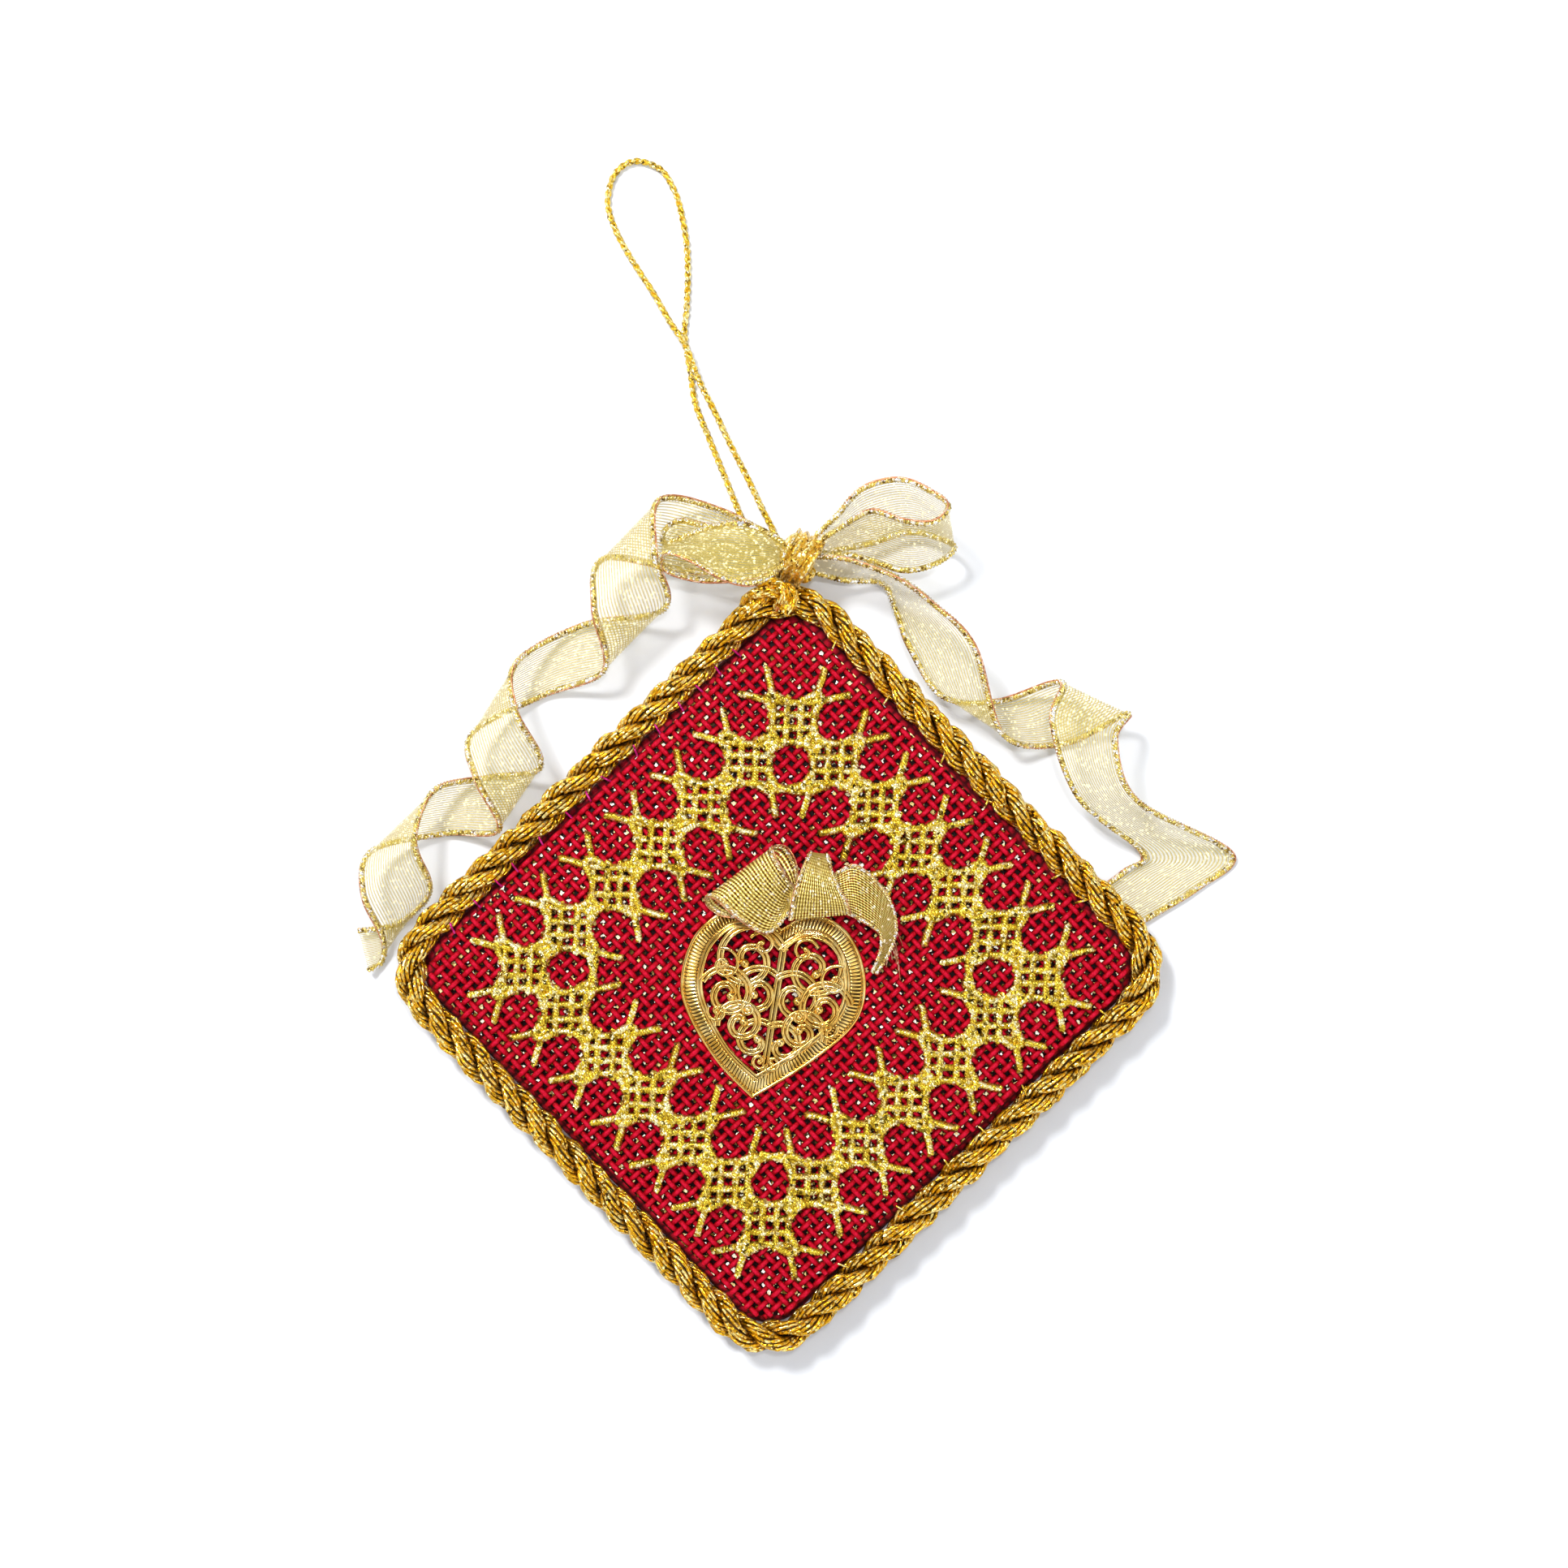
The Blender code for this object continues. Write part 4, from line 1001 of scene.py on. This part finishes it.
def heart_charm(surface):
    """The pressed frame with its ribbed band, and scrolls of doubled bar with bead ends."""
    count = HEART_RIBS * 8
    outlines = facing_outlines(count)
    base = heart_base()
    last = len(HEART_PROFILE) - 1

    def place(along, across):
        step = round(along * count)
        outside, inside = outlines[step % count]
        share, height, ribbed = HEART_PROFILE[round(across * last)]
        rib = cos(2 * pi * HEART_RIBS * step / count)
        point = (HEART_CENTRE + outside.lerp(inside, share)).to_3d()
        point.z = base + height * MM + ribbed * RIB_DEPTH * rib
        return point

    frame = patch("heart_frame", count, last, place, surface, weld=True)
    tilt = Matrix.Rotation(HEART_TILT, 2)

    def on_heart(point, side, lift=0.0):
        placed = (HEART_CENTRE + tilt @ Vector((point.x * side, point.y)) * MM).to_3d()
        placed.z = base + SCROLL_HEIGHT + lift
        return placed

    bars = []
    beads = []
    # Large scrolls are two bars side by side, and small ones are one bar that lies higher
    for scrolls, tracks_of, apart, rise, bead in (
        (SCROLLS, 2, BAR_APART, 0.1 * MM, 0.72 * MM), (SMALL_SCROLLS, 1, 0.0, 0.25 * MM, 0.45 * MM),
    ):
        for number, (start, middle, turns) in enumerate(scrolls):
            arm = Vector(start) - Vector(middle)
            # Every other one lies a little higher, so that bars that cross aren't level
            lift = rise + (0.12 * MM if number % 2 else 0.0)
            for side in (1, -1):
                tracks = ([], [])
                for step in range(SCROLL_STEPS + 1):
                    share = step / SCROLL_TURN_STEPS
                    turned = Matrix.Rotation(2 * pi * turns * share, 2) @ arm
                    for track, shift in zip(tracks, (apart, -apart)):
                        spread = shift / max(turned.length, 0.5)
                        spot = Vector(middle) + turned * (1 - SCROLL_TIGHTENS * share + spread)
                        track.append(on_heart(spot, side, lift))
                bars += [(track, False) for track in tracks[:tracks_of]]
                beads.append(((tracks[0][-1] + tracks[1][-1]) / 2, bead))
    top = Vector(SCROLL_STEM[0])
    foot = Vector(SCROLL_STEM[1])
    for shift in (-BAR_APART, BAR_APART):
        stem = [on_heart(top.lerp(foot, k / 12) + Vector((shift, 0)), 1) for k in range(13)]
        bars.append((stem, False))
    openwork = threads("heart_scrolls", bars, SCROLL_BAR, 8, surface)
    bm = bmesh.new()
    for spot, radius in beads:
        grown = bmesh.ops.create_uvsphere(bm, u_segments=12, v_segments=8, radius=radius)
        bmesh.ops.translate(bm, vec=spot, verts=grown["verts"])
    for face in bm.faces:
        face.smooth = True
    ends = object_from("heart_beads", bm, surface)
    # The brass paints shade on each piece's low parts
    for piece, crest in ((frame, FRAME_CREST), (openwork, SCROLL_CREST), (ends, BEAD_CREST)):
        mark_crest(piece, over_front, *crest)
        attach(piece, "root")
    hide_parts("heart_charm")


def ribbon_lines(stations, origin, steps):
    """The ribbon's two edges, through the first and second point of each line across it."""
    return [
        smooth_curve([origin + Vector(row[side:side + 3]) * MM for row in stations], steps)
        for side in (0, 3)
    ]


def ribbon(name, stations, origin, steps, surfaces, kind, edge_width, pleats=0):
    """A ribbon on straight lines across it, with twisted metal threads along both edges."""
    cloth, edge, outer_edge = surfaces
    node_name, slot_name, cut_width = kind
    first, second = ribbon_lines(stations, origin, steps)
    last = len(first) - 1
    rows = 8 * max(pleats, 1)

    def place(along, across):
        i = round(along * last)
        point = first[i].lerp(second[i], CLOTH_FROM + (1 - 2 * CLOTH_FROM) * across)
        if pleats:
            run = first[min(i + 1, last)] - first[max(i - 1, 0)]
            lift = run.cross(second[i] - first[i]).normalized()
            point += lift * (PLEAT_DEPTH * cos(2 * pi * pleats * across + 2.0 * along))
        return point

    body = patch(name, last, rows, place, cloth)
    wall = body.modifiers.new("cloth thickness", "SOLIDIFY")
    wall.thickness = CLOTH_THICKNESS
    wall.offset = 0.0
    wall.use_even_offset = False
    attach(body, "root")
    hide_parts(node_name)
    edges = []
    rims = []
    for line, other in ((first, second), (second, first)):
        inner = [a.lerp(b, EDGE_PLIES_AT) for a, b in zip(line, other)]
        near = [a.lerp(b, EDGE_WIRE_AT) for a, b in zip(line, other)]
        twist = plies(even_points(inner, 0.25 * MM), 2, EDGE_PLY_REACH * edge_width, 1.0 * MM)
        edges += [(ply, False) for ply in twist]
        rims.append((even_points(near, 0.6 * MM), False))
    twisted = threads(f"{name}_woven_edge", edges, EDGE_PLY * edge_width, 4, edge)
    rim = threads(f"{name}_edge_wire", rims, EDGE_WIRE * edge_width, 4, outer_edge)
    for piece in (twisted, rim):
        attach(piece, "root")
    middle = [a.lerp(b, 0.5) for a, b in zip(first, second)]
    length = lengths_along(middle)[-1]


def lump(name, centre, radii, surface, folds, depth):
    """A gathered knot: an egg shape creased lengthwise."""
    bm = bmesh.new()
    bmesh.ops.create_uvsphere(bm, u_segments=48, v_segments=24, radius=1.0, calc_uvs=True)
    uv = bm.loops.layers.uv.verify()
    for face in bm.faces:
        face.smooth = True
        for loop in face.loops:
            co = loop.vert.co
            loop[uv].uv = (atan2(co.z, co.y) / (2 * pi) + 0.5, 0.5 + 0.35 * co.x)
    for vertex in bm.verts:
        co = vertex.co
        crease = 1 + depth * sin(folds * atan2(co.z, co.x) + 2.0 * co.y) * (1 - co.y ** 2)
        shape = Vector((co.x * radii[0] * crease, co.y * radii[1], co.z * radii[2] * crease))
        vertex.co = centre + shape * MM
    made = object_from(name, bm, surface)
    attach(made, "root")


def build_bow(cloth, knot_cloth, edge, copper):
    kind = ("ribbon_bow", "organza_ribbon", RIBBON_WIDTH)
    runs = {
        "ribbon_left_tail": LEFT_TAIL, "ribbon_right_tail": RIGHT_TAIL,
        "ribbon_left_loop": LEFT_LOOP, "ribbon_right_loop": RIGHT_LOOP,
    }
    for name, stations in runs.items():
        ribbon(name, stations, OUTER_CORNER, 10, (cloth, edge, copper), kind, RIBBON_EDGE)
    surfaces = (knot_cloth, edge, copper)
    ribbon("ribbon_knot_wrap", KNOT_WRAP, OUTER_CORNER, 8, surfaces, kind, WRAP_EDGE, pleats=3)
    for name, place, radii, folds, depth in (
        ("ribbon_knot", (1.0, -0.4, 6.1), (2.4, 3.3, 3.0), 7, 0.12),
        ("ribbon_knot_tuck", (1.9, -2.7, 4.9), (1.5, 1.5, 1.5), 5, 0.15),
    ):
        centre = OUTER_CORNER + Vector(place) * MM
        lump(name, centre, radii, knot_cloth, folds, depth)


def build_charm_bow(cloth, edge, copper):
    origin = HEART_CENTRE.to_3d() + Vector((0, 0, heart_base()))
    kind = ("charm_bow", "lame_ribbon", CHARM_RIBBON_WIDTH)
    runs = {"charm_bow_left": CHARM_LEFT, "charm_bow_middle": CHARM_MIDDLE, "charm_bow_right": CHARM_RIGHT}
    for name, stations in runs.items():
        ribbon(name, stations, origin, 10, (cloth, edge, copper), kind, CHARM_RIBBON_EDGE)
    frays = []
    for _ in range(12):
        start = Vector((rng.uniform(14.2, 15.8), rng.uniform(9.0, 16.0), 2.2))
        sway = rng.uniform(-0.8, 1.6)
        length = rng.uniform(4.0, 7.5)
        line = []
        for step in range(13):
            share = step / 12
            drop = Vector((2.0 * sin(1.6 * share) + sway * share * share, -length * share, -1.7 * share))
            line.append(origin + (start + drop) * MM)
        frays.append((line, False))
    frayed = threads("charm_bow_frayed_ends", frays, FRAY, 4, copper)
    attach(frayed, "root")
    centre = origin + Vector((3.2, 15.4, 3.3)) * MM
    lump("charm_bow_tie", centre, (1.5, 2.1, 1.5), cloth, 4, 0.08)


def studio():
    """White ground, a room of bright and dark panels for the metal to mirror, and three lamps."""
    bm = bmesh.new()
    bmesh.ops.create_grid(bm, x_segments=1, y_segments=1, size=FLOOR_HALF)
    object_from("floor", bm, floor_paper())
    world = bpy.data.worlds.new("soft room")
    bpy.context.scene.world = world
    world.use_nodes = True
    tree = world.node_tree
    # Bright panels and darker walls between them, which polished metal mirrors
    ways = node(tree, "TexCoord", output="Generated")
    panels = node(tree, "TexNoise", {"Scale": 3.0, "Detail": 0.0}, {"Vector": ways})
    stops = ((0.38, "#303035"), (0.5, "#9E9EA2"), (0.62, "#FFFFFF"))
    shade = node(tree, "ValToRGB", {"stops": stops}, {"Fac": panels})
    wire(tree, tree.nodes["Background"], {"Strength": 1.5}, {"Color": shade})
    for name, place, size, power in LAMPS:
        light = bpy.data.lights.new(name, "AREA")
        light.size = size
        light.energy = power
        lamp = bpy.data.objects.new(name, light)
        lamp.location = place
        aim = Vector(LAMPS_AIM) - lamp.location
        lamp.rotation_euler = aim.to_track_quat("-Z", "Y").to_euler()
        bpy.context.scene.collection.objects.link(lamp)
    bpy.context.scene.view_settings.view_transform = "Standard"


def main():
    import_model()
    place_camera()
    cord_gold = metallic_thread(
        "two-ply gold cord, metallised film", "#6A4A04", "#EAC234", "#FFF6B8", 0.26, 0.3 * MM, 0.6
    )
    hanging_cord(cord_gold)
    thread_gold = metallic_thread(
        "gold embroidery thread, metallised film", "#524002", "#E0C034", "#FFF8C4", 0.2, 0.44 * MM, 0.5,
        paint_groove_shade=True,
    )
    rope_gold = metallic_thread(
        "gold rope yarn, metallised film", "#3E2400", "#E8AE18", "#FFF0A0", 0.2, 0.42 * MM, 0.75, paint_groove_shade=True
    )
    edge_gold = metallic_thread(
        "gold selvedge thread, metallised film", "#7A5818", "#ECD474", "#FFFFFF", 0.2, 0.42 * MM, 0.85
    )
    pale_edge = metallic_thread(
        "iridescent selvedge thread, metallised film", "#8A6424", "#E6CC84", "#FFFFFF", 0.16, 0.4 * MM, 0.8
    )
    knot_gold = metallic_thread(
        "gathered organza, metallised threads", "#7A4A08", "#E8BC40", "#FFF4B8", 0.22, 0.36 * MM, 0.6
    )
    copper = metallic_thread(
        "copper edge wire, metallised film", "#985030", "#D08C62", "#FFD8B8", 0.35, 0.4 * MM, 0.5
    )
    magenta = metallic_thread(
        "magenta sewing thread, spun", "#700038", "#B80868", "#E040A0", 0.6, 0.3 * MM, 0.3
    )
    canvas = canvas_cotton()
    padded_square(lining_lame(), backing_cloth())
    canvas_threads("canvas_warp", WARP_TURN, WEFT_PITCH, WARP_PITCH, WEFT_TURN, 0.0, canvas)
    canvas_threads("canvas_weft", WEFT_TURN, WARP_PITCH, WEFT_PITCH, WARP_TURN, 1.0, canvas)
    embroidery(thread_gold)
    edging_rope(rope_gold, core_yarn())
    edge_stitches(cord_gold, magenta)
    heart_charm(stamped_brass())
    lame = lame_mesh()
    build_charm_bow(lame, pale_edge, copper)
    build_bow(sheer_ribbon(), knot_gold, edge_gold, copper)
    studio()


main()
